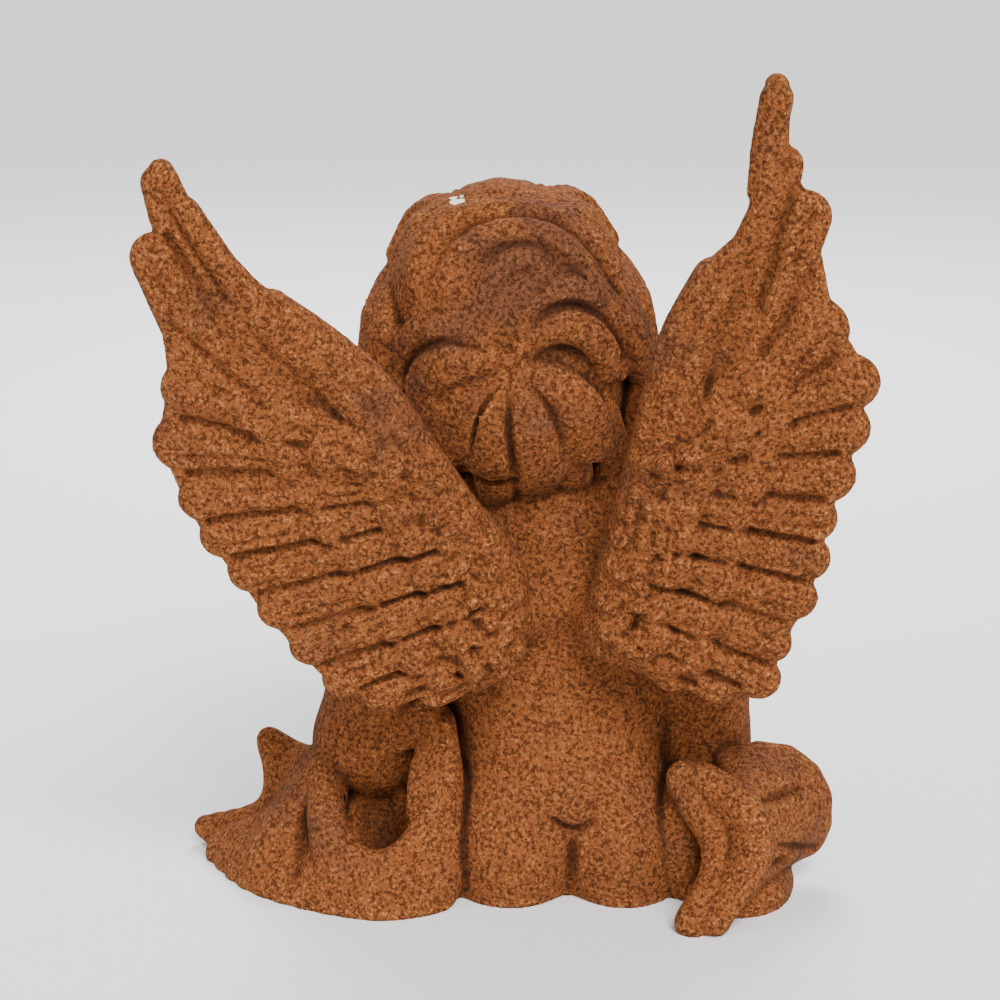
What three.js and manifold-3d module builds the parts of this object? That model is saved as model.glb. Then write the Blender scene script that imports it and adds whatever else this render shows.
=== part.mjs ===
// A child angel sitting on the ground, cast in one piece of reconstituted stone.
// It is modelled as a sculptor models clay: round masses, limbs, locks, folds and feathers are pressed
// into a grid of distances, which is then turned into one closed surface and thinned to few facets.
// Lengths are in millimetres. The figure faces -Y, its left side is +X, and the ground is Z = 0.
import * as THREE from "three";
import { triTable } from "three/addons/objects/MarchingCubes.js";
import Module from "manifold-3d";

// Driving sizes
const HEAD = 100; // height of the head with its hair, the measure of the whole figure
const GRAIN = 2.6; // step of the modelling grid
const FACETS = 9200; // triangles left in the finished surface

// Points and widths below are in hundredths of a head, so they follow HEAD
const SHARE = HEAD / 100;
const at = (x, y, z) => new THREE.Vector3(x, y, z).multiplyScalar(SHARE);
const BOTH = [1, -1];
const UPWARD = new THREE.Vector3(0, 0, 1);
const BACKWARD = new THREE.Vector3(0, 1, 0);

// Rust brown of the finish
const RUST = new THREE.Color(0.32, 0.13, 0.045);

// Clay: signed distances on a grid, negative inside
const FAR = 1e3;

function blended(a, b, blend) {
  const overlap = Math.max(blend - Math.abs(a - b), 0);
  return Math.min(a, b) - (blend > 0 ? (overlap * overlap) / (4 * blend) : 0);
}

class Clay {
  constructor(box) {
    this.low = box.min.clone().divideScalar(GRAIN).floor();
    const high = box.max.clone().divideScalar(GRAIN).ceil();
    this.size = high.sub(this.low).addScalar(1);
    this.distances = new Float32Array(this.size.x * this.size.y * this.size.z).fill(FAR);
  }

  index(i, j, k) {
    return (k * this.size.y + j) * this.size.x + i;
  }

  point(i, j, k, target) {
    return target.set(i, j, k).add(this.low).multiplyScalar(GRAIN);
  }

  // Calls visit(index, i, j, k) for each grid point in a box
  within(box, visit) {
    const first = box.min.clone().divideScalar(GRAIN).ceil().sub(this.low).max(new THREE.Vector3());
    const last = box.max.clone().divideScalar(GRAIN).floor().sub(this.low);
    last.min(this.size.clone().subScalar(1));
    for (let k = first.z; k <= last.z; k++)
      for (let j = first.y; j <= last.y; j++)
        for (let i = first.x; i <= last.x; i++) visit(this.index(i, j, k), i, j, k);
  }

  press(shape, blend) {
    const point = new THREE.Vector3();
    const reach = shape.box.clone().expandByScalar(blend + 2 * GRAIN);
    this.within(reach, (index, i, j, k) => {
      const distance = shape.distance(this.point(i, j, k, point));
      this.distances[index] = blended(this.distances[index], distance, blend);
    });
    return this;
  }

  carve(shape, blend) {
    const point = new THREE.Vector3();
    const reach = shape.box.clone().expandByScalar(blend + 2 * GRAIN);
    this.within(reach, (index, i, j, k) => {
      const distance = shape.distance(this.point(i, j, k, point));
      this.distances[index] = -blended(-this.distances[index], distance, blend);
    });
    return this;
  }

  // Joins another lump of clay to this one
  join(lump, blend) {
    const box = new THREE.Box3(lump.low.clone(), lump.low.clone().add(lump.size).subScalar(1));
    box.min.multiplyScalar(GRAIN);
    box.max.multiplyScalar(GRAIN);
    const shift = this.low.clone().sub(lump.low);
    this.within(box.expandByScalar(GRAIN / 10), (index, i, j, k) => {
      const other = lump.distances[lump.index(i + shift.x, j + shift.y, k + shift.z)];
      this.distances[index] = blended(this.distances[index], other, blend);
    });
    return this;
  }
}

// A lump of clay round its own shapes, with room to blend into what it is joined to
function lump(shapes, blend, room) {
  const box = new THREE.Box3();
  for (const shape of shapes) box.union(shape.box);
  const clay = new Clay(box.expandByScalar(room + 3 * GRAIN));
  for (const shape of shapes) clay.press(shape, blend);
  return clay;
}

// Shapes: each has a box and a distance
function ball(centre, radii, turn = new THREE.Quaternion()) {
  const size = at(...radii);
  const back = turn.clone().invert();
  const widest = Math.max(size.x, size.y, size.z);
  const local = new THREE.Vector3();
  const scaled = new THREE.Vector3();
  return {
    box: new THREE.Box3().setFromCenterAndSize(centre, new THREE.Vector3().setScalar(2 * widest)),
    distance(point) {
      local.copy(point).sub(centre).applyQuaternion(back).divide(size);
      const share = local.length();
      const slope = scaled.copy(local).divide(size).length();
      return slope > 0 ? (share * (share - 1)) / slope : -Math.min(size.x, size.y, size.z);
    },
  };
}

function interpolated(values, share) {
  const place = share * (values.length - 1);
  const before = Math.min(Math.floor(place), values.length - 2);
  return THREE.MathUtils.lerp(values[before], values[before + 1], place - before);
}

// A limb, lock or fold: a round section that follows a smooth curve. A flat one is thinner along
// the line from its heart, or along the direction that it faces.
function strand(points, radii, { steps = 10, flat = 1, heart = null, facing = null } = {}) {
  const spine = new THREE.CatmullRomCurve3(points, false, "catmullrom").getPoints(steps);
  const girth = spine.map((_, i) => interpolated(radii, i / steps) * SHARE);
  const box = new THREE.Box3().setFromPoints(spine).expandByScalar(Math.max(...girth));
  const bone = new THREE.Vector3();
  const offset = new THREE.Vector3();
  const thin = new THREE.Vector3();
  return {
    box,
    distance(point) {
      let nearest = FAR;
      for (let i = 0; i < steps; i++) {
        bone.subVectors(spine[i + 1], spine[i]);
        offset.subVectors(point, spine[i]);
        const along = THREE.MathUtils.clamp(offset.dot(bone) / bone.lengthSq(), 0, 1);
        offset.addScaledVector(bone, -along);
        if (flat < 1) {
          if (heart) thin.subVectors(spine[i], heart).normalize();
          else thin.copy(facing);
          offset.addScaledVector(thin, offset.dot(thin) * (1 / flat - 1));
        }
        const radius = THREE.MathUtils.lerp(girth[i], girth[i + 1], along);
        nearest = Math.min(nearest, offset.length() - radius);
      }
      return nearest;
    },
  };
}

// A sheet of cloth between a line that it is gathered on and its free edge. It sags in between,
// and every second rib is thinner by the pleat.
function sheet(gather, edge, thickness, ribs, { sag = [0, 0, 0], pleat = 0 } = {}) {
  const from = new THREE.CatmullRomCurve3(gather, false, "catmullrom");
  const to = new THREE.CatmullRomCurve3(edge, false, "catmullrom");
  const shapes = [];
  for (let i = 0; i < ribs; i++) {
    const share = i / (ribs - 1);
    const start = from.getPoint(share);
    const end = to.getPoint(share);
    const middle = start.clone().lerp(end, 0.5).add(at(...sag));
    const widths = thickness.map((width) => width - (i % 2) * pleat);
    shapes.push(strand([start, middle, end], widths, { steps: 5 }));
  }
  return shapes;
}

// A wing is a relief: a height map over its own plane, the same on both faces
class Relief {
  constructor(low, high, cell) {
    Object.assign(this, { low, cell });
    this.columns = Math.ceil((high.x - low.x) / cell) + 1;
    this.rows = Math.ceil((high.y - low.y) / cell) + 1;
    this.heights = new Float32Array(this.columns * this.rows).fill(-FAR);
  }

  // Lays a plume along a line of points. Its half width and thickness change along the line,
  // and a low bulge keeps its sides steep, as a feather's, where a bulge of 2 is a round arm.
  lay(points, halfWidths, thicknesses, bulge) {
    const spine = new THREE.SplineCurve(points).getPoints(12);
    const bone = new THREE.Vector2();
    const offset = new THREE.Vector2();
    for (let row = 0; row < this.rows; row++)
      for (let column = 0; column < this.columns; column++) {
        let best = -FAR;
        for (let i = 0; i + 1 < spine.length; i++) {
          bone.subVectors(spine[i + 1], spine[i]);
          offset.set(this.low.x + column * this.cell, this.low.y + row * this.cell).sub(spine[i]);
          const along = THREE.MathUtils.clamp(offset.dot(bone) / bone.lengthSq(), 0, 1);
          const share = (i + along) / (spine.length - 1);
          const width = interpolated(halfWidths, share);
          const away = offset.addScaledVector(bone, -along).length();
          const height =
            away < width
              ? interpolated(thicknesses, share) * Math.sqrt(1 - (away / width) ** bulge)
              : width - away;
          best = Math.max(best, height);
        }
        const index = row * this.columns + column;
        this.heights[index] = Math.max(this.heights[index], best);
      }
  }

  // Cuts a thin groove along a straight line
  score([start, end], halfWidth, depth) {
    const bone = new THREE.Vector2().subVectors(end, start);
    const offset = new THREE.Vector2();
    for (let row = 0; row < this.rows; row++)
      for (let column = 0; column < this.columns; column++) {
        offset.set(this.low.x + column * this.cell, this.low.y + row * this.cell).sub(start);
        const along = THREE.MathUtils.clamp(offset.dot(bone) / bone.lengthSq(), 0, 1);
        const away = offset.addScaledVector(bone, -along).length();
        const index = row * this.columns + column;
        if (away < halfWidth && this.heights[index] > BLADE)
          this.heights[index] = Math.max(BLADE, this.heights[index] - depth * (1 - (away / halfWidth) ** 2));
      }
  }

  // Fills a flat blade inside an outline, with a rounded rim
  fill(outline, thickness, rim) {
    const inside = new THREE.Shape(outline);
    const here = new THREE.Vector2();
    const bone = new THREE.Vector2();
    const offset = new THREE.Vector2();
    const points = inside.getPoints(1);
    for (let row = 0; row < this.rows; row++)
      for (let column = 0; column < this.columns; column++) {
        here.set(this.low.x + column * this.cell, this.low.y + row * this.cell);
        let away = FAR;
        let crossings = 0;
        points.forEach((start, i) => {
          const end = points[(i + 1) % points.length];
          bone.subVectors(end, start);
          offset.subVectors(here, start);
          const along = THREE.MathUtils.clamp(offset.dot(bone) / (bone.lengthSq() || 1), 0, 1);
          away = Math.min(away, offset.addScaledVector(bone, -along).length());
          const rises = start.y > here.y !== end.y > here.y;
          const crossing = start.x + ((here.y - start.y) / (end.y - start.y)) * bone.x;
          if (rises && crossing > here.x) crossings++;
        });
        const depth = 1 - Math.min(away / rim, 1);
        const height = crossings % 2 ? thickness * Math.sqrt(1 - depth ** 2) : -away;
        const index = row * this.columns + column;
        this.heights[index] = Math.max(this.heights[index], height);
      }
  }

  height(a, b) {
    const x = THREE.MathUtils.clamp((a - this.low.x) / this.cell, 0, this.columns - 1.001);
    const y = THREE.MathUtils.clamp((b - this.low.y) / this.cell, 0, this.rows - 1.001);
    const column = Math.floor(x);
    const row = Math.floor(y);
    const index = row * this.columns + column;
    const lower = THREE.MathUtils.lerp(this.heights[index], this.heights[index + 1], x - column);
    const upper = THREE.MathUtils.lerp(
      this.heights[index + this.columns],
      this.heights[index + this.columns + 1],
      x - column,
    );
    return THREE.MathUtils.lerp(lower, upper, y - row);
  }
}

// Body

function body() {
  const masses = [
    ball(at(0, 4, 33), [40, 36, 38]), // hips
    ball(at(18, 20, 12), [21, 25, 31]), // left buttock
    ball(at(-20, 20, 12), [20, 25, 31]),
    ball(at(1, -13, 58), [35, 31, 32]), // belly
    ball(at(0, 10, 63), [38, 25, 30]), // waist
    ball(at(4, 2, 92), [35, 27, 34]), // chest
    ball(at(3, 14, 92), [29, 20, 32]), // back between the wings
    strand([at(-36, 4, 111), at(3, 6, 118), at(43, 4, 110)], [15, 20, 15]), // shoulders
    strand([at(5, 6, 114), at(12, 1, 150)], [30, 24], { flat: 0.9, facing: BACKWARD }), // neck
    strand([at(33, 6, 124), at(33, 6, 147)], [11, 10]), // and its sides
    strand([at(-16, 6, 124), at(-15, 6, 147)], [11, 10]),
    strand([at(40, 4, 97), at(45, 4, 64)], [9, 9]), // where the left arm rests against the side
  ];
  const clay = lump(masses, 9, 10);
  clay.carve(ball(at(1, -46, 56), [3, 4, 3]), 3); // navel
  const cleft = [at(-2.4, 39.8, 26), at(-2.2, 38.6, 20), at(-2, 37.2, 10), at(-1.5, 35, 0)];
  clay.carve(strand(cleft, [1.5, 2.2, 2.4, 2.4]), 2);
  clay.carve(strand([at(-9, 40, 29.5), cleft[0], at(4, 39.4, 30)], [1.2, 1.8, 1.2], { steps: 6 }), 2);
  return clay;
}

// Arms hang to bent elbows, and the hands lie on the knees
const ELBOWS = { 1: at(65, 2, 45), "-1": at(-43.5, 3, 45) };
const KNEES = { 1: at(37, -55, 50), "-1": at(-36, -57, 51) };

function arm(side) {
  const shoulder = side > 0 ? at(45, 4, 108) : at(-37, 4, 109);
  const elbow = ELBOWS[side];
  const wrist = KNEES[side].clone().add(at(7 * side, 12, 21));
  const middle = elbow.clone().lerp(wrist, 0.5).add(at(4 * side, 0, -2));
  return lump(
    [
      strand([shoulder, shoulder.clone().lerp(elbow, 0.5).add(at(3 * side, 2, 0)), elbow], [18, 19, 19]),
      strand([elbow, middle, wrist], [19, 16, 10]),
    ],
    5,
    8,
  );
}

function hand(side) {
  const knee = KNEES[side];
  const palm = knee.clone().add(at(3 * side, -3, 22));
  const shapes = [
    strand([palm.clone().add(at(4 * side, 13, 0)), palm.clone().add(at(0, -8, -1))], [8.5, 10], {
      steps: 3,
      flat: 0.62,
      facing: UPWARD,
    }),
  ];
  const FINGERS = 4;
  for (let i = 0; i < FINGERS; i++) {
    const across = (i - 1.5) * 4.9 * side;
    const reach = i === 3 ? -2 : 0;
    shapes.push(
      strand(
        [
          palm.clone().add(at(across * 0.8, -8, -0.5)),
          palm.clone().add(at(across, -18 - reach, -4)),
          palm.clone().add(at(across * 0.95, -22 - reach, -13)),
        ],
        [3.6, 3.5, 2.9],
        { steps: 5 },
      ),
    );
  }
  shapes.push(
    strand(
      [
        palm.clone().add(at(-6 * side, 2, -1)),
        palm.clone().add(at(-13 * side, -5, -4)),
        palm.clone().add(at(-14 * side, -12, -9)),
      ],
      [4.6, 3.9, 3],
      { steps: 5 },
    ),
  );
  return lump(shapes, 1.6, 5);
}

function leg(side) {
  const hip = at(20 * side, -6, 29);
  const knee = KNEES[side];
  const ankle = at(25 * side, -76, 14);
  return lump(
    [
      strand([hip, knee], [25, 20]),
      strand([knee, knee.clone().lerp(ankle, 0.45).add(at(2 * side, 4, 0)), ankle], [19, 17, 11.5]),
    ],
    5,
    8,
  );
}

function foot(side) {
  const heel = at(25 * side, -74, 9);
  const sole = at(30 * side, -97, 8);
  const shapes = [
    strand([heel, sole], [10.5, 10.5], { flat: 0.85, facing: UPWARD }),
  ];
  const TOES = 5;
  for (let i = 0; i < TOES; i++) {
    const size = 4.4 - 0.45 * i - (i === 0 ? -0.6 : 0);
    const tip = at((22.5 + 4.1 * i) * side, -107 + 1.1 * i * i * 0.5 - (i === 1 ? 1 : 0), size + 0.6);
    shapes.push(strand([sole.clone().lerp(tip, 0.4), tip], [size, size], { steps: 2 }));
  }
  return lump(shapes, 1.8, 5);
}

// Head. Its own axes lean towards the figure's left.
const HEAD_CENTRE = at(19, -6, 184);
const HEAD_LEAN = new THREE.Quaternion().setFromAxisAngle(BACKWARD, THREE.MathUtils.degToRad(4));
const onHead = (x, y, z) => at(x, y, z).applyQuaternion(HEAD_LEAN).add(HEAD_CENTRE);
const headBall = (centre, radii) => ball(onHead(...centre), radii, HEAD_LEAN);
const headStrand = (points, radii, steps = 6) =>
  strand(points.map((p) => onHead(...p)), radii, { steps });

function face() {
  const clay = lump(
    [
      headBall([0, 2, 3], [39, 43, 43]), // skull
      headBall([0, -13, 9], [35, 32, 31]), // forehead
      headBall([0, -14, -17], [32, 28, 25]), // jaw
    ],
    8,
    10,
  );
  for (const side of BOTH) {
    clay.press(headBall([17 * side, -27, -16], [14, 13, 13]), 6); // cheek
    clay.carve(headBall([15.5 * side, -47, -3], [10, 7, 6.5]), 6); // eye socket
    clay.press(headBall([15.5 * side, -34, -4.5], [9, 8, 6.8]), 1.5); // closed eye
  }
  clay.press(headBall([0, -33, -33], [10, 9, 8]), 6); // chin
  clay.press(headStrand([[0, -39, 3], [0, -44, -7], [0, -48.5, -14.5]], [3, 3.6, 4.8]), 4); // nose
  for (const side of BOTH) clay.press(headBall([5 * side, -44.5, -16], [3.6, 4, 3.2]), 1.5);
  const upperLip = [-9, -3.6, 0, 3.6, 9].map((x) => [x, -44 + 0.055 * x * x, -24 - 0.025 * x * x]);
  clay.press(headStrand(upperLip, [1.2, 2.6, 2.2, 2.6, 1.2], 8), 2);
  clay.press(headStrand([[-7, -40, -28.4], [0, -43.4, -29.6], [7, -40, -28.4]], [1.5, 3, 1.5]), 2);
  return clay;
}

// Hair: locks follow the scalp. A lock at the back is placed by its bearing round the whorl, from
// straight up towards the figure's left, and by the arc away from it. The others are placed by
// their turn from the back of the head and their rise, as on a globe. All angles are in degrees.
const SCALP = new THREE.Vector3(39.5, 46.5, 45.5);
const SQUARENESS = 3.2; // 2 is an egg, and more is squarer
const degrees = THREE.MathUtils.degToRad;

// The scalp in a direction from the heart of the head
function scalp(direction, lift = 0) {
  const { x, y, z } = direction;
  const powers = [x, y, z].map((part) => Math.abs(part) ** SQUARENESS);
  const share = (powers[0] + powers[1] + powers[2]) ** (-1 / SQUARENESS);
  return direction.clone().multiply(SCALP).multiplyScalar(share + lift / SCALP.z);
}

function globe(turn, rise, lift) {
  const direction = new THREE.Vector3(0, Math.cos(degrees(rise)), Math.sin(degrees(rise)));
  direction.x = Math.sin(degrees(turn)) * direction.y;
  direction.y *= Math.cos(degrees(turn));
  return onHead(...scalp(direction, lift).toArray());
}

function scalpSurface(lift) {
  const back = HEAD_LEAN.clone().invert();
  const local = new THREE.Vector3();
  return {
    box: new THREE.Box3().setFromCenterAndSize(HEAD_CENTRE, SCALP.clone().multiplyScalar(2.4 * SHARE)),
    distance(point) {
      local.copy(point).sub(HEAD_CENTRE).applyQuaternion(back).divideScalar(SHARE);
      if (local.lengthSq() === 0) return -SCALP.x * SHARE;
      const direction = local.clone().divide(SCALP).normalize();
      return (local.length() - scalp(direction, lift).length()) * 0.9 * SHARE;
    },
  };
}

const WHORL = new THREE.Vector3().setFromSphericalCoords(1, degrees(90 + 2.5), degrees(-0.6));
WHORL.set(WHORL.x, WHORL.z, WHORL.y);
const WHORL_LEFT = new THREE.Vector3().crossVectors(WHORL, UPWARD).normalize();
const WHORL_UP = new THREE.Vector3().crossVectors(WHORL_LEFT, WHORL);

function roundWhorl(bearing, arc, lift) {
  const direction = WHORL.clone().multiplyScalar(Math.cos(degrees(arc)));
  direction.addScaledVector(WHORL_UP, Math.sin(degrees(arc)) * Math.cos(degrees(bearing)));
  direction.addScaledVector(WHORL_LEFT, Math.sin(degrees(arc)) * Math.sin(degrees(bearing)));
  return onHead(...scalp(direction, lift).toArray());
}

const lock = (points, radii, flat = 0.75) =>
  strand(points, radii, { flat, heart: HEAD_CENTRE, steps: 9 });

// Bearing, arc pairs of the locks that show at the back, with their half widths
// Each lock has its half widths, and how far its start and its end are lifted off the scalp.
const SWEPT_LOCKS = [
  // Soft waves over the crown
  {
    path: [[62, 88], [44, 98], [22, 102], [0, 103], [-22, 102], [-44, 98], [-66, 88]],
    widths: [3, 5, 6.5, 6.5, 6.5, 5, 3],
    lifts: [-4, -3.5],
  },
  {
    path: [[60, 70], [40, 80], [20, 84], [0, 85], [-20, 84], [-42, 78], [-66, 70]],
    widths: [3, 5, 6, 6, 6, 5, 3],
    lifts: [-3.5, -3],
  },
  {
    path: [[50, 51], [38, 58], [24, 64], [8, 66], [-12, 65], [-30, 62], [-50, 60], [-68, 60]],
    widths: [3, 5, 6, 6, 6, 6, 5, 3],
    lifts: [-2, -1],
  },
  {
    path: [[40, 40], [24, 47], [6, 51], [-12, 53], [-30, 51], [-48, 49], [-64, 50]],
    widths: [2.5, 4, 5, 5, 5, 4, 2.5],
    lifts: [-1.5, -0.4],
  },
  // Two swoops to the right of the whorl, one inside the other
  {
    path: [[-14, 15], [-24, 25], [-36, 34], [-48, 41], [-62, 46], [-78, 52], [-92, 55], [-99, 50]],
    widths: [3, 4.5, 5.4, 5.6, 5.6, 5.4, 4.6, 3.4],
    lifts: [0, 1.4],
  },
  {
    path: [[-49, 7], [-49, 20], [-58, 29], [-72, 36], [-87, 41], [-97, 43]],
    widths: [2.6, 5, 6.6, 6.6, 5.6, 4],
    lifts: [0, 1.8],
  },
  // Two to the left
  {
    path: [[44, 16], [56, 31], [66, 39], [77, 46], [89, 52], [99, 52], [107, 47]],
    widths: [2.6, 4.4, 5, 5, 5, 4.6, 3.4],
    lifts: [0, 0.8],
  },
  {
    path: [[48, 4], [70, 16], [82, 26], [91, 34], [101, 39], [112, 37], [118, 33]],
    widths: [3, 6.4, 7.6, 7.4, 6.4, 5.2, 4.2],
    lifts: [0, 1.6],
  },
  // The curl above the whorl
  {
    path: [[16, 30], [5, 36], [-8, 42], [-19, 43], [-27, 39]],
    widths: [2.4, 3.8, 4.4, 3.8, 2.4],
    lifts: [0.2, 0.2],
  },
];
// The nape locks fan out from the whorl, and their pointed tips hang below them
const NAPE_TIPS = [
  { path: [[164, 38], [169, 52], [172, 64]], widths: [7.5, 6.4, 2.8], lifts: [1, 8] },
  { path: [[-168, 44], [-171, 57], [-174, 68]], widths: [8, 6.8, 2.8], lifts: [1, 10] },
  { path: [[-147, 42], [-152, 55], [-156, 66]], widths: [7, 6, 2.6], lifts: [0, 7] },
  { path: [[130, 36], [138, 48], [146, 60]], widths: [7, 6.4, 3.4], lifts: [0, 4] },
  { path: [[-122, 46], [-132, 57], [-140, 66]], widths: [6.5, 6, 3.4], lifts: [0, 4] },
];
const NAPE_LOCKS = [
  { path: [[118, 6], [124, 16], [130, 26], [138, 34]], widths: [2.6, 6, 7.6, 6.6], lifts: [0, 1.5] },
  { path: [[142, 5], [147, 15], [153, 26], [161, 35]], widths: [2.6, 6, 8.2, 7.8], lifts: [0, 3.4] },
  { path: [[-160, 6], [-158, 17], [-161, 28], [-166, 41]], widths: [2.6, 6.6, 9, 8.4], lifts: [0, 3.6] },
  { path: [[-106, 8], [-110, 20], [-122, 33], [-134, 44]], widths: [2.6, 6.8, 8.4, 7], lifts: [0, 3.6] },
];
// The grooves that part the locks: their paths, and their lifts off the scalp
const GROOVES = [
  { path: [[36, 33], [20, 38], [0, 43], [-18, 46], [-35, 44], [-49, 43]], lift: -0.5 },
  { path: [[22, 27], [4, 31], [-14, 35], [-26, 32]], lift: -0.5 },
  { path: [[2, 12], [-14, 23], [-25, 34], [-34, 40], [-46, 48]], lift: 0 },
  { path: [[-30, 12], [-36, 23], [-46, 31], [-57, 37], [-69, 42], [-80, 46]], lift: 1.2 },
  { path: [[-60, 4], [-72, 14], [-84, 23], [-92, 32], [-100, 42]], lift: 1.4 },
  { path: [[50, 13], [62, 25], [71, 33], [82, 41], [93, 45], [101, 46]], lift: 1.2 },
  { path: [[92, 2], [104, 10], [108, 19], [112, 28]], lift: 1.4 },
  { path: [[132, 6], [135, 16], [142, 26], [149, 36]], lift: 2.4 },
  { path: [[176, 6], [173, 16], [175, 25], [178, 39], [178, 50]], lift: 3 },
  { path: [[-126, 7], [-132, 18], [-140, 27], [-149, 38], [-150, 48]], lift: 3.2 },
];
const GROOVE = 1.5; // half width of a groove between locks

function roundPath(places, start, end) {
  return places.map(([bearing, arc], i) =>
    roundWhorl(bearing, arc, THREE.MathUtils.lerp(start, end, i / (places.length - 1))),
  );
}

function hair() {
  const clay = lump([scalpSurface(-1)], 0, 10);
  const faceOpening = headBall([0, -48, -18], [35, 42, 42]);
  clay.carve(faceOpening, 3);
  const belowNape = headBall([0, 0, -78], [90, 90, 42]);
  clay.carve(belowNape, 3);
  const BLEND = 1.2;
  for (const side of BOTH) {
    // Side curls hang from above the temples to the ears, each curling forward at its end
    const SIDE_LOCKS = 4;
    for (let i = 0; i < SIDE_LOCKS; i++) {
      const turn = 58 + i * 19;
      const path = [
        globe(turn * side, 40, -5),
        globe((turn + 9) * side, 26, -2.5),
        globe((turn - 3) * side, 9, 3.5),
        globe((turn + 6) * side, -9, 5),
        globe((turn + 15) * side, -17, 3),
      ];
      clay.press(lock(path, [2, 4, 6.5, 7, 4.5], 0.85), BLEND);
    }
    // Behind each ear the hair reaches down to the neck
    const behindEar = [
      globe(70 * side, 6, 2),
      globe(68 * side, -14, 3.5),
      globe(64 * side, -32, 4.5),
      globe(56 * side, -46, 3),
    ];
    clay.press(lock(behindEar, [4, 6.5, 7.5, 5], 0.9), BLEND);
    // Fringe locks roll over the forehead
    const FRINGE_LOCKS = 3;
    for (let i = 0; i < FRINGE_LOCKS; i++) {
      const turn = 128 + i * 19;
      const path = [
        globe((turn - 18) * side, 74, -5),
        globe((turn - 2) * side, 58, -2),
        globe((turn + 6) * side, 40),
        globe((turn - 3) * side, 26 + 2 * i),
      ];
      clay.press(lock(path, [4, 6, 6.5, 5], 0.85), BLEND);
    }
  }
  const parting = [globe(180, 70, -4), globe(180, 85, -5), globe(0, 78, -4)];
  clay.press(lock(parting, [4, 6, 4]), BLEND);
  for (const { path, widths, lifts } of [...NAPE_TIPS, ...NAPE_LOCKS])
    clay.press(lock(roundPath(path, ...lifts), widths, 0.6), BLEND);
  for (const { path, widths, lifts } of SWEPT_LOCKS) {
    const middle = Math.floor(path.length / 2);
    const start = roundPath(path.slice(0, middle), ...lifts);
    const end = roundPath(path.slice(middle), lifts[1], lifts[1]);
    clay.press(lock([...start, ...end], widths, 0.6), 2 * BLEND);
  }
  for (const { path, lift } of GROOVES) {
    const line = roundPath(path, 0, lift);
    clay.carve(strand(line, [0.5 * GROOVE, GROOVE, GROOVE, 0.5 * GROOVE], { steps: 12 }), BLEND);
  }
  return clay;
}

// Wings. Each has its own plane: a runs outwards from the root and b runs up.
// A feather is given by its tip, the direction that it points in, how far it is from the leading
// edge to the tip along that direction, and its half width.
const LEFT_WING = {
  side: 1,
  root: [12, 40, 92],
  arm: [
    [15, 4], [13, 14], [15, 25], [30, 46], [43, 68], [56, 88],
    [71, 103], [86, 115.5], [99.5, 130.5], [111, 148], [117, 160],
  ],
  armWidths: [11, 12, 12.5, 11.5, 10.5, 10, 9.5, 8.4, 4.6, 3.6, 3.8],
  coverts: 8, // points of the arm that small feathers cover
  feathers: [
    [38, -14, -22, 36, 7],
    [56, -13.5, -20, 50, 7],
    [69, -7, -18, 61, 7],
    [79.5, 5, -16, 70, 7],
    [89.5, 18, -14, 77, 7],
    [98.5, 31, -12, 82, 7],
    [107, 43, -9, 85, 7],
    [113.5, 56, -5, 88, 7.5],
    [121, 75, 3, 85, 9],
    [117.5, 96, 24, 76, 9],
    [122.5, 142, 68, 62, 9.5],
    [116, 152, 57, 74, 7],
    [122, 161, 62, 24, 5.5],
  ],
};
const RIGHT_WING = {
  side: -1,
  root: [-5, 40, 92],
  arm: [
    [12, 6], [18, 26], [25, 53], [31, 80], [36, 104],
    [45, 125], [54, 137], [59, 150], [61.5, 165], [63, 186],
  ],
  armWidths: [12, 12.5, 12, 11, 9.5, 7.6, 4, 3.6, 4, 4],
  coverts: 6,
  feathers: [
    [36, -10, -35, 30, 7],
    [51.5, -11.5, -26, 46, 7],
    [65.5, -8, -20, 58, 7.5],
    [69, 5, -18, 60, 7.5],
    [77, 21, -14, 63, 7.5],
    [81, 35, -10, 65, 7.5],
    [83, 49, -5, 66, 8],
    [88.5, 64.5, 2, 68, 9],
    [92.5, 81, 10, 71, 9],
    [94.5, 98, 24, 75, 9],
    [82.5, 118.5, 48, 66, 10],
    [76, 152, 70, 66, 7],
    [69.5, 167, 74, 54, 6],
    [63.5, 190, 76, 28, 4.6],
  ],
};
const WING_SWEEP = degrees(14); // the feathers' ends stand back from the shoulder
const WING_LEAN = degrees(6); // and the tip stands back from the root
const WING_BOW = 6; // how far the middle bows back, in hundredths of a head

// Each row of feathers overlaps the one outside it: how far it reaches, its half thickness, and how
// much broader and squarer its feathers are
const FEATHER_ROWS = [
  { reach: 1, thick: 4.2, spread: 1, bulge: 2.4 },
  { reach: 0.6, thick: 6.2, spread: 1.2, bulge: 3.6 },
  { reach: 0.37, thick: 8.2, spread: 1.2, bulge: 3.6 },
];
const INSET = 10; // how far inside the leading edge the feathers start
const BLADE = 2.8; // half thickness of the blade between the feathers
const NOTCH = 3.5; // how far the feathers' tips stand out of the blade

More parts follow.
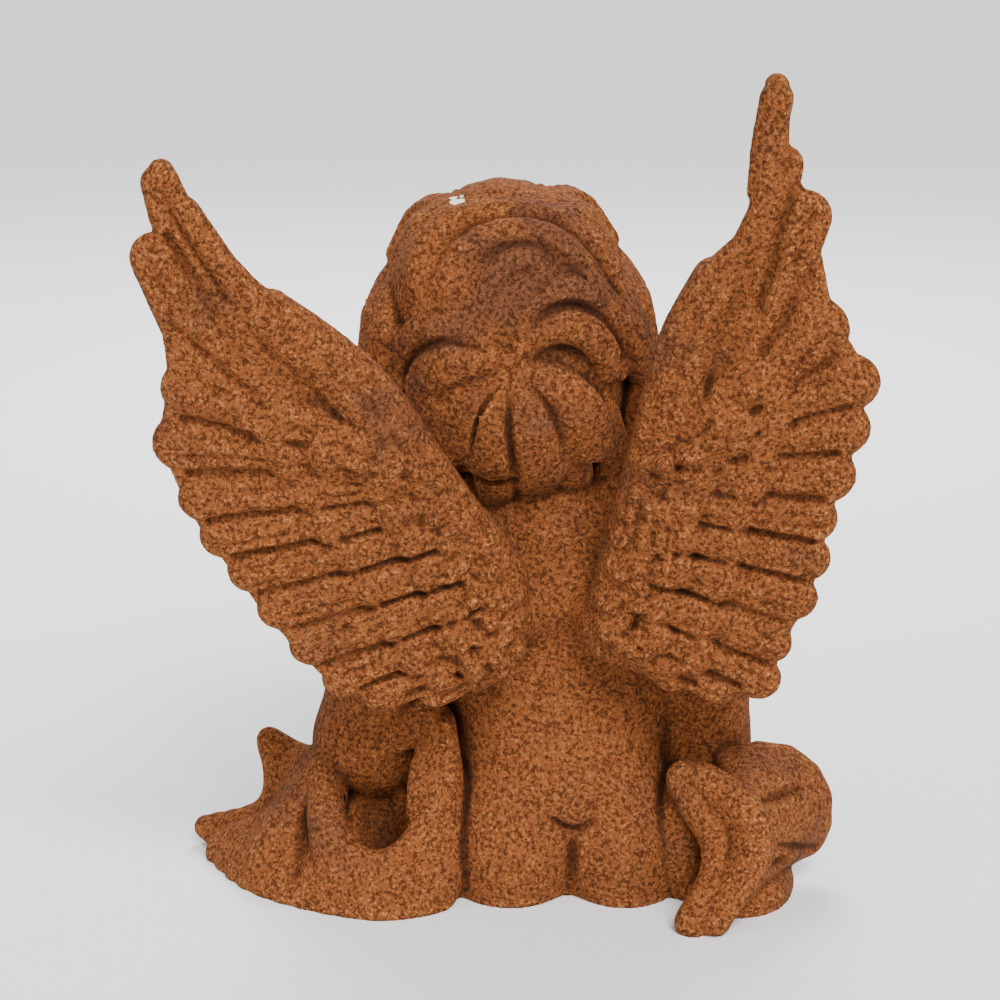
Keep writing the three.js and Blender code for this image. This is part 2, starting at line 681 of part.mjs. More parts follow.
function wing({ side, root, arm, armWidths, coverts, feathers }) {
  const relief = new Relief(new THREE.Vector2(-8, -28), new THREE.Vector2(140, 200), 1);
  const leading = arm.map(([a, b]) => new THREE.Vector2(a, b));
  const trailing = feathers.map(([a, b, angle]) => {
    const along = new THREE.Vector2(Math.cos(degrees(angle)), Math.sin(degrees(angle)));
    return along.multiplyScalar(-NOTCH).add(new THREE.Vector2(a, b));
  });
  relief.fill([...leading, ...trailing.reverse()], BLADE, 3);
  for (const [i, row] of FEATHER_ROWS.entries()) {
    const lines = [];
    for (const [a, b, angle, reach, width] of feathers) {
      if (i > 0 && angle > 50) break; // the tip has long feathers only
      const along = new THREE.Vector2(Math.cos(degrees(angle)), Math.sin(degrees(angle)));
      const edge = new THREE.Vector2(a, b).addScaledVector(along, -reach);
      const length = reach * row.reach - width;
      const tip = edge.clone().addScaledVector(along, length);
      const start = edge.clone().addScaledVector(along, Math.min(INSET, length / 2));
      const full = width * row.spread;
      relief.lay([start, tip], [full * 0.75, full, full], [row.thick, row.thick, row.thick], row.bulge);
      lines.push([start.addScaledVector(along, width * 0.3), tip.addScaledVector(along, width * 0.3)]);
    }
    for (let j = 0; j + 1 < lines.length; j++)
      relief.score(lines[j].map((place, end) => place.clone().lerp(lines[j + 1][end], 0.5)), 2, 2);
  }
  const slim = armWidths.map((width) => Math.min(width, 6));
  relief.lay(leading, slim, slim.map((width) => 2.6 + width * 0.45), 2.2);
  const covered = armWidths.slice(0, coverts);
  relief.lay(leading.slice(0, coverts), covered, covered.map((width) => 3.4 + width * 0.45), 2.2);

  const origin = at(...root);
  const outwards = new THREE.Vector3(side * Math.cos(WING_SWEEP), Math.sin(WING_SWEEP), 0);
  const up = new THREE.Vector3(0, Math.sin(WING_LEAN), Math.cos(WING_LEAN));
  up.addScaledVector(outwards, -up.dot(outwards)).normalize();
  const back = new THREE.Vector3().crossVectors(up, outwards).multiplyScalar(side).normalize();
  const box = new THREE.Box3();
  for (const a of [-8, 140])
    for (const b of [-28, 200])
      for (const w of [-12, 18]) {
        const corner = origin.clone().addScaledVector(outwards, a * SHARE).addScaledVector(up, b * SHARE);
        box.expandByPoint(corner.addScaledVector(back, w * SHARE));
      }
  const offset = new THREE.Vector3();
  return {
    box,
    distance(point) {
      offset.subVectors(point, origin).divideScalar(SHARE);
      const a = offset.dot(outwards);
      const bow = WING_BOW * (1 - ((a - 55) / 55) ** 2);
      const height = relief.height(a, offset.dot(up));
      return (Math.abs(offset.dot(back) - bow) - height) * 0.8 * SHARE;
    },
  };
}

// Cloth round the hips: its ends spread on the ground at both sides

function leftCloth() {
  const ridge = [at(80, 10, 39), at(88, 16, 27), at(97, 19, 16), at(101, 22, 8)];
  const edge = [at(101, -12, 40), at(98, -8, 28), at(102, -6, 16), at(124, -16, 6)];
  const rim = [
    at(76, 16, 34), at(75, 28, 22), at(68, 38, 16), at(58, 41, 16), at(48, 38, 26), at(41, 31, 42),
    at(40, 26, 58),
  ];
  const hem = [
    at(116, -2, 2), at(103, 22, 1), at(84, 38, 1), at(62, 47, 1), at(46, 42, 2), at(40, 34, 10),
    at(38, 26, 20),
  ];
  const clay = lump(
    [
      ball(at(66, 12, 2), [44, 32, 16]),
      ball(at(60, 2, 12), [32, 24, 22]),
      ...sheet(ridge, edge, [5.5, 4.2], 9, { sag: [0, -5, -4] }),
      ...sheet(rim, hem, [4.2, 7], 13),
      strand([at(80, 14, 40), at(80, 25, 30), at(78, 33, 21), at(74, 39, 11)], [4, 6, 7, 6.5]),
      strand([at(64, 18, 42), at(55, 20, 52), at(45, 22, 61)], [3, 5.5, 6], { flat: 0.8, facing: BACKWARD }),
    ],
    3,
    8,
  );
  return clay.carve(ball(at(59, 24, 27), [10, 12, 17]), 4);
}

function rightCloth() {
  const inner = [at(-39, 38, 44), at(-44, 43, 35), at(-50, 48, 26), at(-49, 55, 15), at(-41, 62, 3)];
  const crest = [at(-45, 42, 45), at(-56, 48, 40), at(-61, 53, 32), at(-60, 58, 22), at(-48, 64, 5)];
  const hub = [at(-58, 44, 38), at(-60, 48, 32), at(-60, 50, 26), at(-59, 52, 20), at(-56, 54, 12)];
  const rim = [
    at(-56, 24, 44), at(-66, 21, 45), at(-76, 19, 42), at(-83, 18, 34), at(-85, 18, 25), at(-83, 17, 15),
    at(-74, 22, 13), at(-59, 42, 9),
  ];
  return lump(
    [
      ball(at(-57, 26, 4), [20, 27, 12]),
      ball(at(-40, 28, 20), [11, 14, 24]),
      ...sheet(inner, crest, [6, 5.5], 11, { sag: [0, -1, -1] }),
      ...sheet(hub, rim, [5.5, 5.6], 15, { pleat: 0.8 }),
    ],
    2,
    6,
  );
}

// The cloth crosses the lap and falls between the legs in hanging folds
function lapCloth() {
  const shapes = [ball(at(0, -18, 12), [46, 30, 26])];
  const FOLDS = 6;
  for (let i = 0; i < FOLDS; i++) {
    const drop = i * 5.5;
    shapes.push(
      strand(
        [
          at(50, 14 - drop * 0.4, 40 - drop * 0.5),
          at(40, -22 - drop * 0.9, 52 - drop * 0.2),
          at(3, -46 - drop * 0.7, 46 - drop * 1.4),
          at(-39, -24 - drop * 0.9, 52 - drop * 0.15),
          at(-47, 14 - drop * 0.4, 42 - drop * 0.5),
        ],
        [4, 4, i % 2 ? 4 : 6, 4, 4],
        { steps: 14 },
      ),
    );
  }
  return lump(shapes, 3, 8);
}

// Surface: marching cubes over the clay, with shared vertices
const CORNERS = [[0, 0, 0], [1, 0, 0], [1, 1, 0], [0, 1, 0], [0, 0, 1], [1, 0, 1], [1, 1, 1], [0, 1, 1]];
// Each edge of a cube: the corner that it starts from, its axis and the corner that it ends at
const EDGES = [
  [0, 0, 1], [1, 1, 2], [3, 0, 2], [0, 1, 3], [4, 0, 5], [5, 1, 6], [7, 0, 6], [4, 1, 7],
  [0, 2, 4], [1, 2, 5], [2, 2, 6], [3, 2, 7],
];

function surface(clay) {
  const { size, distances } = clay;
  const positions = [];
  const faces = [];
  const known = new Map();
  const corner = (i, j, k, c) => clay.index(i + CORNERS[c][0], j + CORNERS[c][1], k + CORNERS[c][2]);
  const place = new THREE.Vector3();
  const vertex = (i, j, k, edge) => {
    const [from, axis, to] = EDGES[edge];
    const start = corner(i, j, k, from);
    const key = start * 3 + axis;
    if (!known.has(key)) {
      const a = distances[start];
      const b = distances[corner(i, j, k, to)];
      const share = THREE.MathUtils.clamp(a / (a - b), 0.03, 0.97);
      clay.point(i + CORNERS[from][0], j + CORNERS[from][1], k + CORNERS[from][2], place);
      place.setComponent(axis, place.getComponent(axis) + share * GRAIN);
      known.set(key, positions.length / 3);
      positions.push(place.x, place.y, place.z);
    }
    return known.get(key);
  };
  for (let k = 0; k + 1 < size.z; k++)
    for (let j = 0; j + 1 < size.y; j++)
      for (let i = 0; i + 1 < size.x; i++) {
        let outside = 0;
        for (let c = 0; c < 8; c++) if (distances[corner(i, j, k, c)] >= 0) outside |= 1 << c;
        for (let t = outside * 16; triTable[t] !== -1; t += 3)
          faces.push([0, 1, 2].map((n) => vertex(i, j, k, triTable[t + n])));
      }
  return { positions, faces };
}

// Thinning: the edge whose loss changes the surface least is merged first, by the quadric error
class Quadric {
  constructor() {
    this.terms = new Float64Array(10);
  }

  addPlane(normal, offset, weight) {
    const p = [normal.x, normal.y, normal.z, offset];
    let term = 0;
    for (let i = 0; i < 4; i++) for (let j = i; j < 4; j++) this.terms[term++] += weight * p[i] * p[j];
  }

  add(other) {
    for (let i = 0; i < 10; i++) this.terms[i] += other.terms[i];
  }

  error({ x, y, z }) {
    const q = this.terms;
    return (
      q[0] * x * x + 2 * q[1] * x * y + 2 * q[2] * x * z + 2 * q[3] * x +
      q[4] * y * y + 2 * q[5] * y * z + 2 * q[6] * y +
      q[7] * z * z + 2 * q[8] * z + q[9]
    );
  }

  // The point of least error, or null where the surface is too flat to fix one
  best(target) {
    const q = this.terms;
    const matrix = new THREE.Matrix3().set(q[0], q[1], q[2], q[1], q[4], q[5], q[2], q[5], q[7]);
    const size = q[0] + q[4] + q[7];
    if (Math.abs(matrix.determinant()) < 1e-4 * size ** 3) return null;
    return target.set(-q[3], -q[6], -q[8]).applyMatrix3(matrix.invert());
  }
}

class Heap {
  constructor() {
    this.items = [];
  }

  push(item) {
    const { items } = this;
    let child = items.push(item) - 1;
    while (child > 0) {
      const parent = (child - 1) >> 1;
      if (items[parent].cost <= items[child].cost) break;
      [items[parent], items[child]] = [items[child], items[parent]];
      child = parent;
    }
  }

  pop() {
    const { items } = this;
    const top = items[0];
    const last = items.pop();
    if (items.length) {
      items[0] = last;
      for (let parent = 0; ; ) {
        let least = parent;
        for (const child of [2 * parent + 1, 2 * parent + 2])
          if (child < items.length && items[child].cost < items[least].cost) least = child;
        if (least === parent) break;
        [items[parent], items[least]] = [items[least], items[parent]];
        parent = least;
      }
    }
    return top;
  }
}

function thinned({ positions, faces }, count) {
  const points = [];
  for (let i = 0; i < positions.length; i += 3) points.push(new THREE.Vector3().fromArray(positions, i));
  const quadrics = points.map(() => new Quadric());
  const around = points.map(() => new Set());
  const version = new Uint32Array(points.length);
  const triangle = new THREE.Triangle();
  const normal = new THREE.Vector3();
  const before = new THREE.Vector3();
  faces.forEach((face, index) => {
    triangle.set(...face.map((v) => points[v])).getNormal(normal);
    for (const v of face) {
      quadrics[v].addPlane(normal, -normal.dot(points[face[0]]), triangle.getArea());
      around[v].add(index);
    }
  });
  const neighbours = (v) => {
    const found = new Set();
    for (const index of around[v]) for (const other of faces[index]) if (other !== v) found.add(other);
    return found;
  };
  const heap = new Heap();
  const offer = (a, b) => {
    const quadric = new Quadric();
    quadric.add(quadrics[a]);
    quadric.add(quadrics[b]);
    const middle = points[a].clone().lerp(points[b], 0.5);
    const best = quadric.best(new THREE.Vector3());
    const choices = [points[a], points[b], middle];
    if (best && best.distanceTo(middle) < 2 * points[a].distanceTo(points[b])) choices.push(best);
    const errors = choices.map((choice) => quadric.error(choice));
    const least = errors.indexOf(Math.min(...errors));
    const cost = Math.max(errors[least], 0) + 1e-3 * points[a].distanceToSquared(points[b]);
    heap.push({ cost, a, b, place: choices[least].clone(), versions: [version[a], version[b]] });
  };
  // A merge is refused where it would pinch the surface or turn a face over
  const allowed = (a, b, place) => {
    const shared = [...neighbours(a)].filter((v) => neighbours(b).has(v));
    if (shared.length !== 2) return false;
    for (const [v, other] of [[a, b], [b, a]])
      for (const index of around[v]) {
        const face = faces[index];
        if (face.includes(other)) continue;
        triangle.set(...face.map((n) => points[n])).getNormal(before);
        triangle.set(...face.map((n) => (n === v ? place : points[n]))).getNormal(normal);
        const { a: p, b: q, c: r } = triangle;
        const longest = Math.max(p.distanceTo(q), q.distanceTo(r), r.distanceTo(p));
        if (normal.dot(before) < 0.3 || triangle.getArea() < 0.02 * longest ** 2) return false;
      }
    return true;
  };
  points.forEach((_, a) => {
    for (const b of neighbours(a)) if (a < b) offer(a, b);
  });
  let left = faces.length;
  while (left > count && heap.items.length) {
    const { a, b, place, versions } = heap.pop();
    if (version[a] !== versions[0] || version[b] !== versions[1]) continue;
    if (!allowed(a, b, place)) continue;
    points[a].copy(place);
    quadrics[a].add(quadrics[b]);
    for (const index of around[b]) {
      const face = faces[index];
      if (face.includes(a)) {
        for (const v of face) around[v].delete(index);
        faces[index] = null;
        left--;
      } else {
        face[face.indexOf(b)] = a;
        around[a].add(index);
      }
    }
    around[b] = new Set();
    version[a]++;
    version[b]++;
    for (const other of neighbours(a)) offer(a, other);
  }
  const kept = faces.filter(Boolean);
  const used = [...new Set(kept.flat())];
  const renumbered = new Map(used.map((v, i) => [v, i]));
  return {
    positions: used.flatMap((v) => points[v].toArray()),
    faces: kept.map((face) => face.map((v) => renumbered.get(v))),
  };
}

// The whole figure, before its underside is cut flat
function figure() {
  const clay = new Clay(new THREE.Box3(at(-112, -130, -26), at(146, 108, 298)));
  clay.join(body(), 0);
  clay.join(lapCloth(), 3);
  for (const side of BOTH) {
    clay.join(leg(side), 3);
    clay.join(foot(side), 2.5);
    clay.join(arm(side), 3);
    clay.join(hand(side), 1.5);
  }
  clay.join(leftCloth(), 2);
  clay.join(rightCloth(), 2);
  clay.join(face(), 4);
  clay.join(hair(), 1);
  for (const shape of [LEFT_WING, RIGHT_WING]) {
    const root = at(...shape.root);
    const shoulder = at(shape.root[0] * 0.8, 22, 102);
    clay.press(strand([shoulder, root.clone().add(at(9 * shape.side, 2, 8))], [14, 9]), 6);
    clay.press(wing(shape), 3);
  }
  return clay;
}

const wasm = await Module();
wasm.setup();

function solid(positions, faces) {
  return new wasm.Manifold(
    new wasm.Mesh({
      numProp: 3,
      vertProperties: new Float32Array(positions),
      triVerts: new Uint32Array(faces.flat()),
    }),
  );
}

function boxSolid(low, high) {
  const size = high.clone().sub(low);
  const corners = CORNERS.flatMap(([i, j, k]) => [
    low.x + i * size.x,
    low.y + j * size.y,
    low.z + k * size.z,
  ]);
  const quads = [[0, 3, 2, 1], [4, 5, 6, 7], [0, 1, 5, 4], [1, 2, 6, 5], [2, 3, 7, 6], [3, 0, 4, 7]];
  return solid(corners, quads.flatMap(([a, b, c, d]) => [[a, b, c], [a, c, d]]));
}

const modelled = thinned(surface(figure()), FACETS);
const below = boxSolid(at(-200, -200, -60), at(200, 200, 0));
// Bubbles left between the lumps of clay are dropped: only the largest shell is the figure
const shells = solid(modelled.positions, modelled.faces).decompose();
const outer = shells.reduce((a, b) => (b.volume() > a.volume() ? b : a));
const statueSolid = outer.subtract(below);
const { vertProperties, triVerts } = statueSolid.getMesh();
const geometry = new THREE.BufferGeometry()
  .setAttribute("position", new THREE.BufferAttribute(new Float32Array(vertProperties), 3))
  .setIndex(new THREE.BufferAttribute(new Uint32Array(triVerts), 1));
geometry.computeVertexNormals();

const statue = new THREE.Mesh(
  geometry,
  new THREE.MeshStandardMaterial({ color: RUST, roughness: 0.95, metalness: 0 }),
);
statue.name = "angel_statue";

const group = new THREE.Group();
group.add(statue);
export default group;
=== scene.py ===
"""A child angel sitting on the ground, cast in stone with a rust-brown coat.

The figure is modelled as a sculptor models clay: round masses, limbs, locks, folds and feathers
are pressed into a grid of distances, which becomes one closed mesh. Lengths inside the modelling
are in hundredths of the head's height, so that the figure keeps its proportions at any size. It
faces -Y, its left side is +X, and the ground is Z = 0.
"""

import math
from itertools import product

import bpy
import numpy as np
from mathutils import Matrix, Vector


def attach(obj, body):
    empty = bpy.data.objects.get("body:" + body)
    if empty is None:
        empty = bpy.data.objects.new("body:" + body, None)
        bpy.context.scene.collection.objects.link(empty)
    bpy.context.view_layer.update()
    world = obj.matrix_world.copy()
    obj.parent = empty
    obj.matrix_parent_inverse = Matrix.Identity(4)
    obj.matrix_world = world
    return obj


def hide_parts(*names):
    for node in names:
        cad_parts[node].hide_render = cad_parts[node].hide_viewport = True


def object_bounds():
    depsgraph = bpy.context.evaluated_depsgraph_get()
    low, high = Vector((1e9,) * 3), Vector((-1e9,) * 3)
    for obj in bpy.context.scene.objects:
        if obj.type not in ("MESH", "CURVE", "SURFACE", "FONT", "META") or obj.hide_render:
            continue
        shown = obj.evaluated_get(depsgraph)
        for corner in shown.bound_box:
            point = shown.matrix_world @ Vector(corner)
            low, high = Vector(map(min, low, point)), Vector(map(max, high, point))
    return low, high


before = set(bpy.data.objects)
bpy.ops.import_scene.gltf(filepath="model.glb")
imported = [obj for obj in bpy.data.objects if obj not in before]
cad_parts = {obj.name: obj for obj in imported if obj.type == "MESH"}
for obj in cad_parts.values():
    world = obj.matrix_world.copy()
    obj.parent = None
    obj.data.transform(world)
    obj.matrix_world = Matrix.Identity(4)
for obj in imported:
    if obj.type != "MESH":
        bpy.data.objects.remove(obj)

bl_info = {
    "name": "Cast Stone Angel",
    "version": (1, 0, 0),
    "blender": (4, 5, 0),
    "location": "View3D > Sidebar > Angel",
    "description": "Models a sitting child angel in rust-coated cast stone, and a studio for it",
    "category": "Add Mesh",
}

NODE = "angel_statue"
CAD_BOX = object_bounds()
HEADS_TALL = 2.806  # the whole figure with its wings, in heads
SHARE = 0.01  # the modelling unit, in heads
FAR = 1e3  # a distance outside the clay
HEAD_LEAN = math.radians(4)  # towards the figure's left
TINY = 1e-6  # the least length that is divided by
LEFT, RIGHT = 1, -1
UPWARD = np.array([0.0, 0.0, 1.0])
BACKWARD = np.array([0.0, 1.0, 0.0])


class AngelSizes(bpy.types.PropertyGroup):
    """Sizes of the figure and of its modelling"""

    head: bpy.props.FloatProperty(
        name="Head",
        description="Height of the head with its hair, which the whole figure follows",
        default=(CAD_BOX[1][2] - CAD_BOX[0][2]) / HEADS_TALL,
        unit="LENGTH",
    )
    step: bpy.props.FloatProperty(
        name="Modelling step",
        description="Spacing of the modelling grid, in hundredths of a head",
        default=0.9,
        min=0.6,
        max=3.0,
    )
    facets: bpy.props.IntProperty(
        name="Facets",
        description="Most triangles left in the finished surface",
        default=196000,
    )
    strand_depth: bpy.props.FloatProperty(
        name="Hair grooves",
        description="Depth of the grooves between strands of hair, in hundredths of a head",
        default=0.8,
    )
    barb_depth: bpy.props.FloatProperty(
        name="Feather grooves",
        description="Depth of the grooves along the feathers, in hundredths of a head",
        default=0.7,
    )


class AngelColours(bpy.types.PropertyGroup):
    """Colours of the coat and of the stone below it"""

    rust: bpy.props.FloatVectorProperty(
        name="Rust", description="Main colour of the coat", subtype="COLOR", size=4,
        default=(0.212, 0.062, 0.0165, 1.0), min=0, max=1,
    )
    ochre: bpy.props.FloatVectorProperty(
        name="Ochre", description="Light grains of the coat", subtype="COLOR", size=4,
        default=(0.49, 0.198, 0.064, 1.0), min=0, max=1,
    )
    # Umber also paints the shade in creases and hollows
    umber: bpy.props.FloatVectorProperty(
        name="Umber", description="Dark grains and hollows", subtype="COLOR", size=4,
        default=(0.034, 0.010, 0.0035, 1.0), min=0, max=1,
    )
    # Plum is also painted as shade on the wings beside the head
    plum: bpy.props.FloatVectorProperty(
        name="Plum", description="Greyish purple-brown patches", subtype="COLOR", size=4,
        default=(0.085, 0.036, 0.024, 1.0), min=0, max=1,
    )
    stone: bpy.props.FloatVectorProperty(
        name="Stone", description="Bare stone where the coat has chipped", subtype="COLOR", size=4,
        default=(0.86, 0.84, 0.82, 1.0), min=0, max=1,
    )
    studio: bpy.props.FloatVectorProperty(
        name="Studio", description="Floor and surroundings", subtype="COLOR", size=4,
        default=(0.93, 0.93, 0.93, 1.0), min=0, max=1,
    )


# Curves


def smooth_curve(points, count):
    """Points along a Catmull-Rom curve through the given points."""
    points = np.asarray(points, float)
    padded = np.vstack([2 * points[0] - points[1], points, 2 * points[-1] - points[-2]])
    place = np.linspace(0, len(points) - 1, count)
    start = np.minimum(place.astype(int), len(points) - 2)
    share = (place - start)[:, None]
    before, a, b, after = (padded[start + i] for i in range(4))
    leaving, arriving = (b - before) / 2, (after - a) / 2
    bend = 3 * (b - a) - 2 * leaving - arriving
    return a + share * leaving + share**2 * bend + share**3 * (2 * (a - b) + leaving + arriving)


def interpolated(values, shares):
    """Evenly spaced values, read at shares of the whole way."""
    return np.interp(shares, np.linspace(0, 1, len(values)), values)


def from_head(point, lean=HEAD_LEAN):
    """Turns a direction on the head, which leans, into one of the figure."""
    x, y, z = np.moveaxis(np.asarray(point, float), -1, 0)
    return np.stack(
        [x * math.cos(lean) + z * math.sin(lean), y, z * math.cos(lean) - x * math.sin(lean)], -1
    )


# Clay: signed distances on a grid, negative inside


def blended(a, b, blend):
    """The nearer of two distances, with a fillet of the blend where they meet."""
    least = np.minimum(a, b)
    if blend:
        overlap = np.maximum(blend - np.abs(a - b), 0)
        least = least - overlap * overlap / (4 * blend)
    return least


class Clay:
    """A lump of clay: the distance to its surface at each point of a grid."""

    def __init__(self, low, high, step):
        self.step = step
        self.low = np.floor(np.asarray(low) / step).astype(int)
        self.size = np.ceil(np.asarray(high) / step).astype(int) - self.low + 1
        self.distances = np.full(self.size, FAR, np.float32)

    def window(self, low, high):
        """The part of the grid in a box, and the places of its points."""
        first = np.ceil(np.asarray(low) / self.step).astype(int) - self.low
        last = np.floor(np.asarray(high) / self.step).astype(int) - self.low
        first, last = np.maximum(first, 0), np.minimum(last, self.size - 1)
        slices = tuple(slice(a, b + 1) for a, b in zip(first, last))
        lines = [
            ((np.arange(s.start, s.stop) + low) * self.step).astype(np.float32)
            for s, low in zip(slices, self.low)
        ]
        return slices, np.stack(np.meshgrid(*lines, indexing="ij"), -1)

    def press(self, shape, blend):
        """Adds a shape."""
        reach = blend + 2 * self.step
        part, points = self.window(shape.low - reach, shape.high + reach)
        self.distances[part] = blended(self.distances[part], shape.distance(points), blend)
        return self

    def carve(self, shape, blend):
        """Takes a shape away."""
        reach = blend + 2 * self.step
        part, points = self.window(shape.low - reach, shape.high + reach)
        self.distances[part] = -blended(-self.distances[part], shape.distance(points), blend)
        return self

    def join(self, other, blend):
        """Joins another lump of clay, on the same grid, to this one."""
        first = np.maximum(self.low, other.low)
        last = np.minimum(self.low + self.size, other.low + other.size)
        mine = tuple(slice(a, b) for a, b in zip(first - self.low, last - self.low))
        theirs = tuple(slice(a, b) for a, b in zip(first - other.low, last - other.low))
        self.distances[mine] = blended(self.distances[mine], other.distances[theirs], blend)
        return self

    def sampled(self, values, points):
        """Values of the grid at any points, interpolated."""
        place = np.clip(points / self.step - self.low, 0, self.size - 1.001)
        cell = place.astype(int)
        share = place - cell
        total = np.zeros(len(points))
        for corner in product((0, 1), repeat=3):
            weight = np.prod(np.where(corner, share, 1 - share), axis=1)
            total += weight * values[tuple((cell + corner).T)]
        return total


def lump(shapes, blend, room, step):
    """New clay round some shapes, with room beside them for what is joined to it."""
    low = np.min([shape.low for shape in shapes], axis=0) - room - 3 * step
    high = np.max([shape.high for shape in shapes], axis=0) + room + 3 * step
    clay = Clay(low, high, step)
    for shape in shapes:
        clay.press(shape, blend)
    return clay


class Ball:
    """An egg-shaped mass."""

    def __init__(self, centre, radii, on_head=False):
        self.centre = np.asarray(centre, float)
        self.radii = np.asarray(radii, float)
        self.on_head = on_head
        self.low = self.centre - self.radii.max()
        self.high = self.centre + self.radii.max()

    def distance(self, points):
        local = points - self.centre
        if self.on_head:
            local = from_head(local, -HEAD_LEAN)
        local = local / self.radii
        share = np.linalg.norm(local, axis=-1)
        slope = np.linalg.norm(local / self.radii, axis=-1)
        return share * (share - 1) / np.maximum(slope, TINY)


class Strand:
    """A limb, lock or fold: a round section along a smooth curve.

    A flat one is thinner along the line from its heart, or along the direction that it faces.
    Grooves run along it, so many across, to the depth given.
    """

    def __init__(
        self, points, radii, steps=10, flat=1.0, heart=None, facing=None, grooves=0, depth=0.0
    ):
        self.spine = smooth_curve(points, steps + 1)
        self.girth = interpolated(radii, np.linspace(0, 1, steps + 1))
        self.flat, self.heart, self.facing = flat, heart, facing
        self.grooves, self.depth = grooves, depth
        self.low = self.spine.min(axis=0) - self.girth.max()
        self.high = self.spine.max(axis=0) + self.girth.max()

    def distance(self, points):
        nearest = np.full(points.shape[:-1], FAR, np.float32)
        ridges = np.zeros_like(nearest) if self.grooves else None
        for start, end, wide, narrow in zip(self.spine, self.spine[1:], self.girth, self.girth[1:]):
            bone = end - start
            offset = points - start.astype(np.float32)
            along = np.clip(offset @ bone / (bone @ bone), 0, 1)[..., None]
            offset -= along * bone
            if self.flat < 1:
                thin = self.facing if self.heart is None else start - self.heart
                thin = thin / np.linalg.norm(thin)
                offset += (offset @ thin)[..., None] * thin * (1 / self.flat - 1)
            radius = wide + along[..., 0] * (narrow - wide)
            distance = np.sqrt((offset * offset).sum(axis=-1)) - radius
            closer = distance < nearest
            nearest = np.where(closer, distance, nearest)
            if self.grooves:
                side = np.cross(bone, start - self.heart)
                across = offset @ (side / np.linalg.norm(side)) / radius
                ridges = np.where(closer, np.cos(across * math.pi * self.grooves), ridges)
        if self.grooves:
            nearest = nearest - self.depth * ridges / 2
        return nearest


class Ring:
    """A thin ring round a limb, carved for a crease."""

    def __init__(self, centre, axis, radius, thickness=0.9):
        self.centre, self.axis, self.radius, self.thickness = centre, axis, radius, thickness
        self.low = centre - radius - thickness
        self.high = centre + radius + thickness

    def distance(self, points):
        offset = points - self.centre
        along = offset @ self.axis
        out = np.linalg.norm(offset - along[..., None] * self.axis, axis=-1)
        return np.hypot(out - self.radius, along) - self.thickness


def sheet(gather, edge, thickness, ribs, sag=(0, 0, 0), pleat=0.0):
    """Cloth between the line that it is gathered on and its free edge, as a row of ribs."""
    shapes = []
    rows = zip(smooth_curve(gather, ribs), smooth_curve(edge, ribs))
    for i, (start, end) in enumerate(rows):
        middle = (start + end) / 2 + np.array(sag)
        widths = [width - (i % 2) * pleat for width in thickness]
        shapes.append(Strand([start, middle, end], widths, steps=5))
    return shapes


# Body


def body(step):
    clay = lump(
        [
            Ball((0, 4, 33), (40, 36, 38)),  # hips
            Ball((18, 20, 12), (21, 25, 31)),  # buttocks
            Ball((-20, 20, 12), (20, 25, 31)),
            Ball((1, -13, 58), (35, 31, 32)),  # belly
            Ball((0, 10, 63), (38, 25, 30)),  # waist
            Ball((4, 2, 92), (35, 27, 34)),  # chest
            Ball((3, 14, 92), (29, 20, 32)),  # back between the wings
            Strand([(-36, 4, 111), (3, 6, 118), (43, 4, 110)], [15, 20, 15]),  # shoulders
            Strand([(5, 6, 114), (12, 1, 150)], [30, 24], flat=0.9, facing=BACKWARD),  # neck
            Strand([(33, 6, 124), (33, 6, 147)], [11, 10]),  # and its sides
            Strand([(-16, 6, 124), (-15, 6, 147)], [11, 10]),
            Strand([(40, 4, 97), (45, 4, 64)], [9, 9]),  # where the left arm rests against the side
        ],
        blend=9,
        room=10,
        step=step,
    )
    for side in (LEFT, RIGHT):
        clay.press(Ball((4 + 17 * side, -21, 96), (13, 8, 11)), 9)  # a side of the chest
        clay.carve(Ball((4 + 17 * side, -30.6, 95), (1.6, 1.6, 1.6)), 2)
    clay.carve(Ball((1, -46, 56), (3, 4, 3)), 3)  # navel
    cleft = [(-2.4, 39.8, 26), (-2.2, 38.6, 20), (-2, 37.2, 10), (-1.5, 35, 0)]
    clay.carve(Strand(cleft, [1.2, 1.8, 2.0, 2.2]), 2)
    clay.carve(Strand([(-9, 40, 29.5), (-2.4, 39, 26), (4, 39.4, 30)], [1.1, 1.7, 1.1], 6), 1.5)
    return clay


ELBOWS = {LEFT: np.array([65.0, 2, 45]), RIGHT: np.array([-43.5, 3, 45])}
KNEES = {LEFT: np.array([37.0, -55, 50]), RIGHT: np.array([-36.0, -57, 51])}


def arm(side, step):
    shoulder = np.array([45.0, 4, 108] if side == LEFT else [-37.0, 4, 109])
    elbow = ELBOWS[side]
    wrist = KNEES[side] + (7 * side, 12, 21)
    upper = (shoulder + elbow) / 2 + (3 * side, 2, 0)
    fore = (elbow + wrist) / 2 + (4 * side, 0, -2)
    shapes = [
        Strand([shoulder, upper, elbow], [18, 19, 19]),
        Strand([elbow, fore, wrist], [19, 16, 10]),
    ]
    # The soft crease of a small child's wrist
    bone = (wrist - fore) / np.linalg.norm(wrist - fore)
    crease = Ring(wrist - 3.0 * bone, bone, 11.0)
    return lump(shapes, blend=5, room=8, step=step).carve(crease, 1.2)


